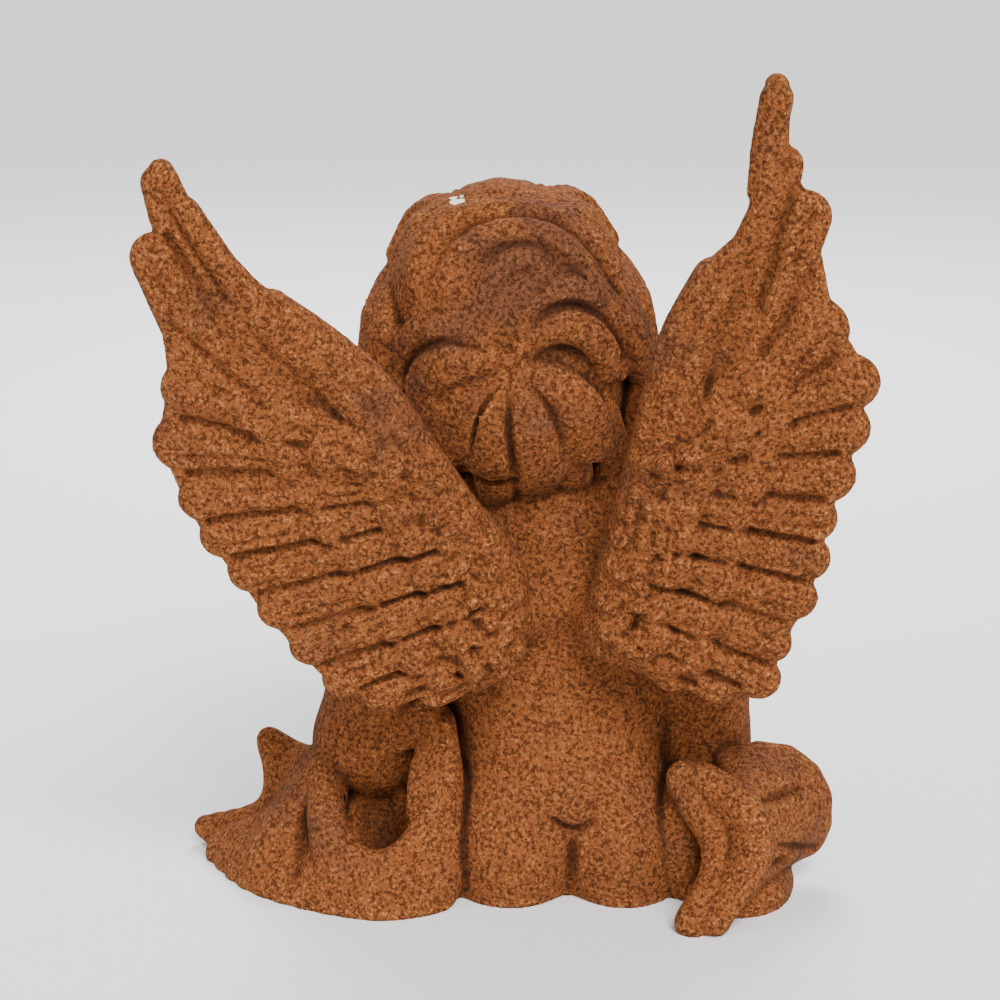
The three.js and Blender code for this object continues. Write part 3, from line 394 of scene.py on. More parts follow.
def hand(side, step):
    palm = KNEES[side] + (3 * side, -3, 22)
    back = [palm + (4 * side, 13, 0), palm + (0, -8, -1)]
    shapes = [Strand(back, [8.5, 10], 3, flat=0.62, facing=UPWARD)]
    nails = []
    for i in range(4):
        across = (i - 1.5) * 5.3 * side
        shorter = 2 if i == 3 else 0  # the little finger
        joints = [
            palm + (across * 0.8, -8, -0.5),
            palm + (across, -18 + shorter, -4),
            palm + (across * 0.95, -22 + shorter, -13),
        ]
        shapes.append(Strand(joints, [3.0, 2.7, 2.3], 6))
        nails.append(Ball(palm + (across * 0.95, -24.6 + shorter, -12.5), (1.5, 0.7, 2.0)))
    thumb = [palm + (-6 * side, 2, -1), palm + (-13 * side, -5, -4), palm + (-14 * side, -12, -9)]
    shapes.append(Strand(thumb, [4.6, 3.8, 2.9], 6))
    clay = lump(shapes, blend=0.5, room=5, step=step)
    for nail in nails:
        clay.carve(nail, 0.6)
    return clay


def leg(side, step):
    hip = np.array([20 * side, -6, 29])
    knee = KNEES[side]
    ankle = np.array([25 * side, -76, 14])
    calf = knee + 0.45 * (ankle - knee) + (2 * side, 4, 0)
    shapes = [Strand([hip, knee], [25, 20]), Strand([knee, calf, ankle], [19, 17, 11.5])]
    bone = (ankle - calf) / np.linalg.norm(ankle - calf)
    crease = Ring(ankle - bone, bone, 12.6)
    return lump(shapes, blend=5, room=8, step=step).carve(crease, 1.4)


def foot(side, step):
    heel = np.array([25 * side, -74, 9])
    sole = np.array([30 * side, -97, 8])
    shapes = [Strand([heel, sole], [10.5, 10.5], flat=0.85, facing=UPWARD)]
    for i in range(5):
        size = 4.4 - 0.45 * i + (0.6 if i == 0 else 0)  # the big toe is thicker,
        longer = 1 if i == 1 else 0  # and the next one longer
        tip = np.array([(22.5 + 4.1 * i) * side, -107 + 0.55 * i * i - longer, size + 0.6])
        shapes.append(Strand([sole + 0.4 * (tip - sole), tip], [size, size], 2))
    return lump(shapes, blend=0.8, room=5, step=step)


# Head

HEAD_CENTRE = np.array([19.0, -6, 184])


def on_head(point):
    """A place on the leaning head, from the head's middle."""
    return HEAD_CENTRE + from_head(point)


def head_ball(centre, radii):
    return Ball(on_head(centre), radii, on_head=True)


def head_strand(points, radii, steps=6):
    return Strand([on_head(point) for point in points], radii, steps)


def face(step):
    clay = lump(
        [
            head_ball((0, 2, 3), (39, 43, 43)),  # skull
            head_ball((0, -13, 9), (35, 32, 31)),  # forehead
            head_ball((0, -14, -17), (32, 28, 25)),  # jaw
        ],
        blend=8,
        room=10,
        step=step,
    )
    for side in (LEFT, RIGHT):
        clay.press(head_ball((17 * side, -27, -16), (14, 13, 13)), 6)  # cheek
        clay.carve(head_ball((15.5 * side, -47, -3), (10, 7, 6.5)), 6)  # eye socket
        clay.press(head_ball((15.5 * side, -35, -4.5), (9, 8, 6.8)), 1.2)  # closed eye
        # The lashes of the closed eye in a shallow arc, a crease below them, and the brow
        lash = [
            (x * side, -41.5 + 0.055 * (x - 15.5) ** 2, -8.2 + 0.03 * (x - 15.5) ** 2)
            for x in (8.5, 12, 15.5, 19, 22.5)
        ]
        clay.press(head_strand(lash, [0.8, 1.3, 1.4, 1.3, 0.8], 10), 0.6)
        under = [(x, y - 0.4, z - 2.2) for x, y, z in lash]
        clay.carve(head_strand(under, [0.5, 1.2, 1.4, 1.2, 0.5], 10), 0.6)
        brow = [
            (x * side, -41.2 + 0.03 * (x - 14) ** 2, 6.5 - 0.03 * (x - 14) ** 2)
            for x in (6, 10, 14, 19, 24)
        ]
        clay.press(head_strand(brow, [0.8, 1.6, 1.8, 1.5, 0.6], 10), 3)
    clay.press(head_ball((0, -33, -33), (10, 9, 8)), 6)  # chin
    nose = [(0, -39, 3), (0, -44, -7), (0, -48.5, -14.5)]
    clay.press(head_strand(nose, [3, 3.6, 4.8]), 4)
    for side in (LEFT, RIGHT):
        clay.press(head_ball((5 * side, -44.5, -16), (3.6, 4, 3.2)), 1.5)  # side of the nose
        clay.carve(head_ball((2.8 * side, -48.6, -19), (1.1, 1.2, 1.0)), 0.6)
    clay.press(head_strand([(0, -40, -17), (0, -41, -23)], [4.5, 5], 3), 3)  # above the lips
    upper = [(x, -45 + 0.055 * x * x, -24 - 0.025 * x * x) for x in (-9, -3.6, 0, 3.6, 9)]
    lower = [(-7, -41, -28.6), (0, -44.6, -30), (7, -41, -28.6)]
    clay.press(head_strand(upper, [1.4, 2.8, 2.4, 2.8, 1.4], 8), 1.2)
    clay.press(head_strand(lower, [1.6, 3.2, 1.6]), 1.2)
    parting = [(x, -47.6 + 0.06 * x * x, -27 + 0.008 * x * x) for x in (-9.5, -4, 0, 4, 9.5)]
    clay.carve(head_strand(parting, [0.6, 1.2, 1.1, 1.2, 0.6], 10), 0.6)
    return clay


# Hair: locks follow the scalp. A lock at the back is placed by its bearing round the whorl, from
# straight up towards the figure's left, and by the arc away from it. The others are placed by
# their turn from the back of the head and their rise, as on a globe. All angles are in degrees.

SCALP = np.array([39.5, 46.5, 45.5])  # half the head of hair across, to the back and upwards
SQUARENESS = 3.2  # 2 is an egg, and more is squarer


def scalp(direction, lift=0.0):
    """The scalp in a direction from the heart of the head."""
    powers = (np.abs(direction) ** SQUARENESS).sum(axis=-1, keepdims=True)
    return direction * SCALP * (powers ** (-1 / SQUARENESS) + lift / SCALP[2])


def globe(turn, rise, lift=0.0):
    """A place on the scalp by its turn and rise, lifted off it."""
    turn, rise = math.radians(turn), math.radians(rise)
    direction = (math.sin(turn) * math.cos(rise), math.cos(turn) * math.cos(rise), math.sin(rise))
    return on_head(scalp(np.array(direction), lift))


def whorl_axes(turn=math.radians(-0.6), drop=math.radians(2.5)):
    """Out of the head at the whorl, towards the figure's left, and up."""
    out = np.array(
        [math.cos(drop) * math.sin(turn), math.cos(drop) * math.cos(turn), -math.sin(drop)]
    )
    left = np.cross(out, UPWARD)
    left /= np.linalg.norm(left)
    return out, left, np.cross(left, out)


def round_whorl(bearing, arc, lift=0.0):
    """A place on the scalp by its bearing and arc, lifted off it."""
    out, left, up = whorl_axes()
    bearing, arc = math.radians(bearing), math.radians(arc)
    around = math.cos(bearing) * up + math.sin(bearing) * left
    return on_head(scalp(math.cos(arc) * out + math.sin(arc) * around, lift))


class Scalp:
    """The head of hair below its locks, fuller round the whorl."""

    FULLER = 0.8
    SLANT = 0.9  # where it slants, it is nearer than it is straight ahead

    def __init__(self, lift):
        self.lift = lift
        self.low = HEAD_CENTRE - 1.2 * SCALP.max()
        self.high = HEAD_CENTRE + 1.2 * SCALP.max()

    def distance(self, points):
        local = from_head(points - HEAD_CENTRE, -HEAD_LEAN)
        direction = local / SCALP
        direction /= np.maximum(np.linalg.norm(direction, axis=-1, keepdims=True), TINY)
        surface = np.linalg.norm(scalp(direction, self.lift), axis=-1)
        surface += self.FULLER * np.clip(2 * (direction @ whorl_axes()[0]) - 0.6, 0, 1)
        return (np.linalg.norm(local, axis=-1) - surface) * self.SLANT


# Each lock is a path of bearings and arcs, with half widths, and a first and a last lift off the
# scalp
SWEPT_LOCKS = [
    # Soft waves over the crown
    ([(62, 88), (44, 98), (22, 102), (0, 103), (-22, 102), (-44, 98), (-66, 88)],
     [3, 5, 6.5, 6.5, 6.5, 5, 3], [-3, -2.6]),
    ([(60, 70), (40, 80), (20, 84), (0, 85), (-20, 84), (-42, 78), (-66, 70)],
     [3, 5, 6, 6, 6, 5, 3], [-2, -1.4]),
    ([(50, 51), (38, 58), (24, 64), (8, 66), (-12, 65), (-30, 62), (-50, 60), (-68, 60)],
     [3, 5, 6, 6, 6, 6, 5, 3], [-1, 0.2]),
    ([(40, 40), (24, 47), (6, 51), (-12, 53), (-30, 51), (-48, 49), (-64, 50)],
     [2.5, 4, 5, 5, 5, 4, 2.5], [-0.4, 0.6]),
    # Two swoops to the right of the whorl, one inside the other
    ([(-14, 15), (-24, 25), (-36, 34), (-48, 41), (-62, 46), (-78, 52), (-92, 55), (-99, 50)],
     [3, 4.5, 5.4, 5.6, 5.6, 5.4, 4.6, 3.4], [0, 1.4]),
    ([(-49, 7), (-49, 20), (-58, 29), (-72, 36), (-87, 41), (-97, 43)],
     [2.6, 5, 6.6, 6.6, 5.6, 4], [0, 1.8]),
    # Two to the left
    ([(44, 16), (56, 31), (66, 39), (77, 46), (89, 52), (99, 52), (107, 47)],
     [2.6, 4.4, 5, 5, 5, 4.6, 3.4], [0, 0.8]),
    ([(48, 4), (70, 16), (82, 26), (91, 34), (101, 39), (112, 37), (118, 33)],
     [3, 6.4, 7.6, 7.4, 6.4, 5.2, 4.2], [0, 1.6]),
    # The curl above the whorl
    ([(16, 30), (5, 36), (-8, 42), (-19, 43), (-27, 39)], [2.4, 3.8, 4.4, 3.8, 2.4], [0.2, 0.2]),
]
NAPE_TIPS = [
    ([(164, 38), (169, 52), (172, 64)], [7.5, 6.4, 2.8], [1, 8]),
    ([(-168, 44), (-171, 57), (-174, 68)], [8, 6.8, 2.8], [1, 10]),
    ([(-147, 42), (-152, 55), (-156, 66)], [7, 6, 2.6], [0, 7]),
    ([(130, 36), (138, 48), (146, 60)], [7, 6.4, 3.4], [0, 4]),
    ([(-122, 46), (-132, 57), (-140, 66)], [6.5, 6, 3.4], [0, 4]),
]
NAPE_LOCKS = [
    # Thin ones lie below the others and keep the grooves between them shallow
    ([(131, 8), (136, 18), (142, 27), (150, 36)], [2.4, 4.5, 5.5, 5], [0, 1.8]),
    ([(178, 8), (176, 18), (177, 29), (179, 42)], [2.4, 5, 6, 5.5], [0, 2.6]),
    ([(-134, 8), (-136, 18), (-142, 28), (-150, 40)], [2.4, 4.5, 5.5, 5], [0, 2.2]),
    ([(108, 17), (112, 27), (120, 36)], [3, 4.6, 4], [0.4, 0.8]),
    ([(118, 6), (124, 16), (130, 26), (138, 34)], [2.6, 6, 7.6, 6.6], [0, 1.5]),
    ([(142, 5), (147, 15), (153, 26), (161, 35)], [2.6, 6, 8.2, 7.8], [0, 3.4]),
    ([(-160, 6), (-158, 17), (-161, 28), (-166, 41)], [2.6, 6.6, 9, 8.4], [0, 3.6]),
    ([(-106, 8), (-110, 20), (-122, 33), (-134, 44)], [2.6, 6.8, 8.4, 7], [0, 3.6]),
]
# Grooves part the locks: each one's path, radius and last lift
GROOVES = [
    ([(52, 44), (36, 51), (20, 56), (0, 59), (-18, 59), (-38, 56), (-56, 54)], 1.2, -1.2),
    ([(36, 33), (20, 39), (0, 45), (-18, 47), (-35, 45), (-49, 44)], 1.2, -0.8),
    ([(22, 27), (4, 31), (-14, 35), (-26, 32)], 1.0, -0.4),
    ([(2, 12), (-14, 23), (-25, 34), (-34, 40), (-46, 48)], 1.2, 0),
    ([(-30, 12), (-36, 23), (-46, 31), (-57, 37), (-69, 42), (-80, 46)], 1.1, 1),
    ([(-60, 4), (-72, 14), (-84, 23), (-92, 32), (-100, 42)], 1.3, 1.2),
    ([(50, 13), (62, 25), (71, 33), (82, 41), (93, 45), (101, 46)], 0.9, 1.4),
    ([(92, 2), (104, 10), (108, 19), (112, 28)], 0.8, 1.6),
    ([(132, 6), (135, 16), (142, 26), (149, 36)], 0.6, 2.4),
    ([(176, 6), (173, 16), (175, 25), (178, 39), (178, 50)], 0.7, 3.8),
    ([(-126, 7), (-132, 18), (-140, 27), (-149, 38), (-150, 48)], 0.7, 3.2),
    ([(150, 42), (162, 44), (172, 44), (180, 42)], 1.2, 1.6),
    ([(-174, 47), (-166, 48), (-155, 48)], 1.1, 2.4),
]


def hair(step, depth):
    clay = lump([Scalp(-1.0)], blend=0, room=10, step=step)
    clay.carve(head_ball((0, -48, -18), (35, 42, 42)), 3)  # the face shows here
    clay.carve(head_ball((0, 0, -78), (90, 90, 42)), 3)  # and the neck here

    def lock(path, widths, flat=0.7, grooves=3, blend=1.2):
        shape = Strand(path, widths, 10, flat=flat, heart=HEAD_CENTRE, grooves=grooves, depth=depth)
        clay.press(shape, blend)

    def round_path(places, low, high):
        lifts = np.linspace(low, high, len(places))
        return [round_whorl(*place, lift) for place, lift in zip(places, lifts)]

    for side in (LEFT, RIGHT):
        # Side curls hang from above the temples to the ears, each curling forward at its end
        for i in range(4):
            turn = 58 + i * 19
            path = [
                globe(turn * side, 40, -5),
                globe((turn + 9) * side, 26, -2.5),
                globe((turn - 3) * side, 9, 3.5),
                globe((turn + 6) * side, -9, 5),
                globe((turn + 15) * side, -17, 3),
            ]
            lock(path, [2, 4, 6.5, 7, 4.5], 0.85)
        # Behind each ear the hair reaches down to the neck
        path = [
            globe(70 * side, 6, 2),
            globe(68 * side, -14, 3.5),
            globe(64 * side, -32, 4.5),
            globe(56 * side, -46, 3),
        ]
        lock(path, [4, 6.5, 7.5, 5], 0.9)
        # Fringe locks roll over the forehead
        for i in range(3):
            turn = 128 + i * 19
            path = [
                globe((turn - 18) * side, 74, -8),
                globe((turn - 2) * side, 58, -4),
                globe((turn + 6) * side, 40, -1),
                globe((turn - 3) * side, 26 + 2 * i),
            ]
            lock(path, [4, 6, 6.5, 5], 0.85)
    parting = [globe(180, 62, -4), globe(180, 85, -2.6), globe(0, 74, -4)]
    lock(parting, [8, 16, 9], 0.5, blend=3)
    for places, widths, lifts in NAPE_TIPS + NAPE_LOCKS:
        lock(round_path(places, *lifts), widths, 0.45, blend=3)
    for places, widths, lifts in SWEPT_LOCKS:
        middle = len(places) // 2
        path = round_path(places[:middle], *lifts)
        path += round_path(places[middle:], lifts[1], lifts[1])
        lock(path, widths, 0.6, blend=2.5)
    above = 2.8  # a groove's middle stays above the scalp, so that it is open all along
    for places, radius, lift in GROOVES:
        path = round_path(places, above, lift + above)
        clay.carve(Strand(path, radius * np.array([0.8, 1.5, 1.5, 0.8]), 12), 2)
    return clay


# Wings


def rough(u, v, seed):
    """Smooth random values from -1 to 1 over a plane, about one step wide."""
    table = np.random.default_rng(seed).uniform(-1, 1, (32, 32))
    i, j = np.floor(u).astype(int), np.floor(v).astype(int)
    a, b = u - i, v - j
    a, b = a * a * (3 - 2 * a), b * b * (3 - 2 * b)
    low = table[i % 32, j % 32] * (1 - a) + table[(i + 1) % 32, j % 32] * a
    high = table[i % 32, (j + 1) % 32] * (1 - a) + table[(i + 1) % 32, (j + 1) % 32] * a
    return low * (1 - b) + high * b


class Relief:
    """A height map over a wing's own plane, the same on both faces."""

    LOW, HIGH, CELL = np.array([-8.0, -28]), np.array([140.0, 200]), 0.5

    def __init__(self):
        a = np.arange(self.LOW[0], self.HIGH[0] + self.CELL, self.CELL)
        b = np.arange(self.LOW[1], self.HIGH[1] + self.CELL, self.CELL)
        self.places = np.stack(np.meshgrid(a, b, indexing="ij"), -1)
        self.heights = np.full(self.places.shape[:2], -FAR)

    def measured(self, points, steps=12):
        """For each cell: how far it is from a line, which side it is on, and how far along it."""
        spine = smooth_curve(points, steps + 1)
        away = np.full(self.heights.shape, FAR)
        side = np.zeros_like(away)
        share = np.zeros_like(away)
        for i, (start, end) in enumerate(zip(spine, spine[1:])):
            bone = end - start
            offset = self.places - start
            along = np.clip(offset @ bone / (bone @ bone), 0, 1)
            offset = offset - along[..., None] * bone
            distance = np.hypot(*np.moveaxis(offset, -1, 0))
            across = (offset @ np.array([-bone[1], bone[0]])) / np.linalg.norm(bone)
            closer = distance < away
            away = np.where(closer, distance, away)
            side = np.where(closer, across, side)
            share = np.where(closer, (i + along) / steps, share)
        return away, side, share

    def lay(self, points, widths, thicknesses, bulge, barbs=0.0, seed=0):
        """Lays a plume along a line. A bulge of 2 is round, and more has steeper sides."""
        away, side, share = self.measured(points)
        width = interpolated(widths, share)
        inside = np.sqrt(np.maximum(1 - (away / width) ** bulge, 0))
        height = np.where(away < width, interpolated(thicknesses, share) * inside, width - away)
        if barbs:
            length = np.hypot(*(np.asarray(points[-1]) - points[0]))
            strokes = rough(share * length / 7, side / 2, seed)
            strokes += rough(share * length / 3.2, side / 3.2, seed + 50) * 0.7
            height = height + np.where(away < width - 0.5, barbs * strokes, 0)
        self.heights = np.maximum(self.heights, height)

    def score(self, points, width, depth):
        """Cuts a thin line into whatever is there."""
        away, side, share = self.measured(points, 4)
        ends = np.minimum(6 * share * (1.3 - share), 1)
        cut = self.heights - depth * np.clip(1 - (away / width) ** 2, 0, 1) * ends
        self.heights = np.where(self.heights > 2, np.maximum(cut, 1.5), self.heights)

    def emboss(self, points, width, depth, barbs, seed):
        """Raises a small feather on whatever is below it, highest at its tip."""
        away, side, share = self.measured(points, 3)
        inside = np.clip(1 - (away / width) ** 4, 0, 1)
        height = depth * (0.15 + 0.85 * share) + barbs * rough(share * 2, side / 1.7, seed)
        self.heights += np.where(self.heights > 1, inside * height, 0)

    def fill(self, outline, thickness, rim):
        """Fills a flat blade inside an outline, with a rounded rim."""
        away = np.full(self.heights.shape, FAR)
        crossings = np.zeros(self.heights.shape, int)
        x, y = np.moveaxis(self.places, -1, 0)
        for start, end in zip(outline, np.roll(outline, -1, axis=0)):
            bone = end - start
            offset = self.places - start
            along = np.clip(offset @ bone / max(bone @ bone, TINY), 0, 1)
            offset = offset - along[..., None] * bone
            away = np.minimum(away, np.hypot(*np.moveaxis(offset, -1, 0)))
            rises = (start[1] > y) != (end[1] > y)
            crossing = start[0] + (y - start[1]) / (bone[1] or 1) * bone[0]
            crossings += rises & (crossing > x)
        depth = 1 - np.minimum(away / rim, 1)
        height = np.where(crossings % 2, thickness * np.sqrt(1 - depth**2), -away)
        self.heights = np.maximum(self.heights, height)

    def height(self, a, b):
        """Heights at places across and along the wing, interpolated."""
        x = np.clip((a - self.LOW[0]) / self.CELL, 0, self.heights.shape[0] - 1.001)
        y = np.clip((b - self.LOW[1]) / self.CELL, 0, self.heights.shape[1] - 1.001)
        i, j = x.astype(int), y.astype(int)
        u, v = x - i, y - j
        lower = self.heights[i, j] * (1 - u) + self.heights[i + 1, j] * u
        upper = self.heights[i, j + 1] * (1 - u) + self.heights[i + 1, j + 1] * u
        return lower * (1 - v) + upper * v


# Arm: points along the leading edge with half widths, the first of them with small feathers.
# Feather: its tip, its direction in degrees, how far the leading edge is from the tip, and its
# half width. Notch: how far the feathers' tips stand out of the blade.
WINGS = {
    LEFT: {
        "root": (12, 40, 92),
        "arm": [
            (15, 4), (13, 14), (15, 25), (30, 46), (43, 68), (56, 88),
            (71, 103), (86, 115.5), (99.5, 130.5), (111, 148), (117, 160),
        ],
        "widths": [11, 12, 12.5, 11.5, 10.5, 10, 9.5, 8.4, 4.6, 3.6, 3.8],
        "coverts": 8,
        "notch": 1.8,
        "feathers": [
            (38, -14, -22, 36, 7), (56, -13.5, -20, 50, 7), (69, -7, -18, 61, 7),
            (79.5, 5, -16, 70, 7), (89.5, 18, -14, 77, 7), (98.5, 31, -12, 82, 7),
            (107, 43, -9, 85, 7), (113.5, 56, -5, 88, 7.5), (121, 75, 3, 85, 9),
            (117.5, 96, 24, 76, 9), (121.4, 141, 68, 62, 8.4), (116, 152, 57, 74, 7),
            (118.5, 162, 78, 36, 5.8),
        ],
    },
    RIGHT: {
        "root": (-5, 40, 92),
        "arm": [
            (12, 6), (18, 26), (25, 53), (31, 80), (36, 104),
            (45, 125), (54, 137), (60, 150), (62.5, 165), (63.2, 186),
        ],
        "widths": [12, 12.5, 12, 11, 9.5, 7.6, 4, 4.4, 4.4, 3.6],
        "coverts": 6,
        "notch": 2.8,
        "feathers": [
            (36, -10, -35, 30, 7), (51.5, -11.5, -26, 46, 7), (65.5, -8, -20, 58, 7.5),
            (69, 5, -18, 60, 7.5), (77, 21, -14, 63, 7.5), (81, 35, -10, 65, 7.5),
            (83, 49, -5, 66, 8), (88.5, 64.5, 2, 68, 9), (92.5, 81, 10, 71, 9),
            (94.5, 98, 24, 75, 9), (82.5, 118.5, 48, 66, 10), (74.5, 154, 72, 66, 8),
            (66.5, 168, 78, 54, 6.2), (64, 187, 80, 44, 5),
        ],
    },
}
# Each row of feathers overlaps the one outside it: its share of their reach, and its half
# thickness
FEATHER_ROWS = [(1, 4.2), (0.6, 6.2), (0.37, 8.2)]
INSET = 10  # how far inside the leading edge the feathers start
BLADE = 2.8  # half thickness of the blade between the feathers
STEEP = 50  # feathers steeper than this, in degrees, make up the tip


class Wing:
    """A wing that stands up and out from the shoulder, with the same relief on both faces."""

    SWEEP = math.radians(14)  # the feathers' ends stand back from the shoulder
    LEAN = math.radians(6)  # and the tip stands back from the root
    BOW = 6  # how far the middle bows back
    SLANT = 0.8  # where the relief slants, it is nearer than it is straight ahead

    def __init__(self, side, barb_depth):
        plan = WINGS[side]
        self.relief = self.carved(plan, barb_depth)
        self.root = np.array(plan["root"], float)
        self.out = np.array([side * math.cos(self.SWEEP), math.sin(self.SWEEP), 0])
        up = np.array([0, math.sin(self.LEAN), math.cos(self.LEAN)])
        up -= (up @ self.out) * self.out
        self.up = up / np.linalg.norm(up)
        self.back = np.cross(self.up, self.out) * side
        corners = [
            self.root + a * self.out + b * self.up + w * self.back
            for a, b, w in product(*zip(Relief.LOW, Relief.HIGH), (-12, 18))
        ]
        self.low, self.high = np.min(corners, axis=0), np.max(corners, axis=0)

    @staticmethod
    def carved(plan, barb_depth):
        """The relief: a blade, rows of feathers on it, and the arm over their roots."""
        relief = Relief()
        leading = np.array(plan["arm"], float)
        trailing = []
        plumes = []
        for a, b, angle, reach, width in plan["feathers"]:
            along = np.array([math.cos(math.radians(angle)), math.sin(math.radians(angle))])
            trailing.append(np.array([a, b]) - plan["notch"] * along)
            edge = np.array([a, b]) - reach * along
            plumes.append((edge, along, reach, width, angle))
        relief.fill(np.vstack([leading, trailing[::-1]]), BLADE, 3)
        for row, (share, thick) in enumerate(FEATHER_ROWS):
            lines = []
            for i, (edge, along, reach, width, angle) in enumerate(plumes):
                if row and angle > STEEP:
                    break  # the tip has long feathers only
                length = reach * share - width
                line = np.array([edge + min(INSET, length / 2) * along, edge + length * along])
                full = width * 1.2 if row else width
                widths = [full * 0.75, full, full]
                thicknesses = [thick * 0.8, thick, thick * 1.12]
                bulge = 3.6 if row else 2.4
                relief.lay(line, widths, thicknesses, bulge, barb_depth, 10 * i + row)
                lines.append((line, width, along))
            for i, (line, width, along) in enumerate(lines):
                # Two lines are cut along each feather, and a deeper one beside it
                across = np.array([-along[1], along[0]])
                for k, place in enumerate((-0.4, 0.35)):
                    chance = rough(np.array([i * 1.7 + k * 0.9]), np.array([row * 2.3 + k]), 7)[0]
                    ends = np.array([0.4 + 0.35 * chance, 1 + 0.08 * chance])[:, None]
                    cut = line[0] + ends * (line[1] - line[0])
                    cut = cut + (place + 0.2 * chance) * width * across
                    relief.score(cut, 1.1, 0.9 + 0.6 * chance)
                if i + 1 < len(lines):
                    chance = rough(np.array([i * 2.3]), np.array([row * 1.3]), 8)[0]
                    beside = (line + lines[i + 1][0]) / 2 + along * width * 0.15
                    depth = (2.3 + 0.6 * chance) / (1 + 0.5 * row)
                    relief.score(beside, 1.8 + 0.3 * chance, depth)
        slim = [min(width, 6) for width in plan["widths"]]
        relief.lay(leading, slim, [2.6 + width * 0.45 for width in slim], 2.2)
        coverts = plan["coverts"]
        widths = plan["widths"][:coverts]
        thicknesses = [3.4 + width * 0.45 for width in widths]
        relief.lay(leading[:coverts], widths, thicknesses, 2.2, barb_depth * 1.5, 500)
        # Small feathers lie like scales on the arm, in rows
        for i, (edge, along, reach, width, angle) in enumerate(plumes):
            if angle > STEEP:
                continue
            nearby = plumes[min(i + 1, len(plumes) - 1)][0]
            for k in range(5):
                seed = 600 + 8 * i + k
                shift, turn = rough(np.array([i * 1.7, k * 2.9]), np.array([k * 3.1, i * 1.3]), 5)
                place = edge + 0.2 * k * (nearby - edge) + (9 - 7 * (k % 3) + 2 * shift) * along
                heading = along + 0.3 * turn * np.array([-along[1], along[0]])
                relief.emboss([place, place + (6 + 2 * turn) * heading], 2.9, 1.8, 0.5, seed)
        return relief

    def distance(self, points):
        offset = points - self.root
        a = offset @ self.out
        bow = self.BOW * (1 - ((a - 55) / 55) ** 2)
        height = self.relief.height(a, offset @ self.up)
        return (np.abs(offset @ self.back - bow) - height) * self.SLANT


# Cloth round the hips: its ends spread on the ground at both sides


def left_cloth(step):
    ridge = [(80, 10, 39), (88, 16, 27), (97, 19, 16), (101, 22, 8)]
    edge = [(101, -12, 40), (98, -8, 28), (102, -6, 16), (124, -16, 6)]
    rim = [
        (76, 16, 34), (75, 28, 22), (68, 38, 16), (58, 41, 16), (48, 38, 26), (41, 31, 42),
        (40, 26, 58),
    ]
    hem = [
        (116, -2, 2), (103, 22, 1), (84, 38, 1), (62, 47, 1), (46, 42, 2), (40, 34, 10),
        (38, 26, 20),
    ]
    inner_fold = [(64, 18, 42), (55, 20, 52), (45, 22, 61)]
    clay = lump(
        [
            Ball((66, 12, 2), (44, 32, 16)),
            Ball((60, 2, 12), (32, 24, 22)),
            *sheet(ridge, edge, [5.5, 4.2], 15, sag=(0, -5, -4)),
            *sheet(rim, hem, [3.8, 7], 19),
            Strand([(80, 14, 40), (80, 25, 30), (78, 33, 21), (74, 39, 11)], [4, 6, 7, 6.5]),
            Strand(inner_fold, [3, 5.5, 6], flat=0.8, facing=BACKWARD),
        ],
        blend=3,
        room=8,
        step=step,
    )
    clay.press(Strand([(41, 22, 58), (46, 26, 44), (50, 30, 30)], [4, 5.2, 4.8]), 4)
    clay.carve(Ball((61, 24, 26.5), (10.5, 12, 17)), 4)  # the hollow between the folds
    clay.carve(Strand([(88.4, 25, 25), (89.6, 30.5, 17), (90, 36, 10)], [2, 3, 2]), 3)
    clay.carve(Strand([(87, 26, 36), (92.5, 23.5, 33), (99, 22, 26)], [3, 4.8, 3]), 3)
    return clay


def right_cloth(step):
    inner = [(-39, 38, 44), (-44, 43, 35), (-50, 48, 26), (-49, 55, 15), (-41, 62, 3)]
    crest = [(-45, 42, 45), (-56, 48, 40), (-61, 53, 32), (-60, 58, 22), (-48, 64, 5)]
    hub = [(-58, 44, 38), (-60, 48, 32), (-60, 50, 26), (-59, 52, 20), (-56, 54, 12)]
    rim = [
        (-56, 24, 44), (-66, 21, 45), (-76, 19, 42), (-83, 18, 34), (-85, 18, 25), (-83, 17, 15),
        (-74, 22, 13), (-59, 42, 9),
    ]
    clay = lump(
        [
            Ball((-57, 26, 4), (20, 27, 12)),
            Ball((-40, 28, 20), (11, 14, 24)),
            *sheet(inner, crest, [6, 5.5], 17, sag=(0, -3, -1)),
            *sheet(hub, rim, [5.5, 5.6], 17, pleat=0.5),
        ],
        blend=2,
        room=6,
        step=step,
    )
    creases = [
        ([(-65, 45.5, 39.2), (-71, 38.5, 38.6), (-79, 29.5, 37.5)], [1.4, 2.4, 1.4]),
        ([(-64.5, 43, 46), (-71, 36, 46), (-77, 30, 45)], [0.8, 1.8, 0.8]),
        ([(-70, 46.5, 23.5), (-76, 37, 19), (-85, 22, 13)], [1.2, 2, 1.2]),
    ]
    for path, radii in creases:
        clay.carve(Strand(path, radii), 1.5)
    clay.carve(Strand([(-67.5, 46.5, 18), (-71, 43, 16), (-74.5, 39, 13)], [2, 3, 1.8]), 1)  # a pit
    return clay


def lap_cloth(step):
    """The cloth crosses the lap and falls between the legs in hanging folds."""
    shapes = [Ball((0, -18, 12), (46, 30, 26))]
    for i in range(6):
        drop = i * 5.5
        path = [
            (50, 14 - drop * 0.4, 40 - drop * 0.5),
            (40, -22 - drop * 0.9, 52 - drop * 0.2),
            (3, -46 - drop * 0.7, 46 - drop * 1.4),
            (-39, -24 - drop * 0.9, 52 - drop * 0.15),
            (-47, 14 - drop * 0.4, 42 - drop * 0.5),
        ]
        shapes.append(Strand(path, [3.4, 3.4, 3.2 if i % 2 else 5.6, 3.4, 3.4], 14))
    return lump(shapes, blend=1.5, room=8, step=step)


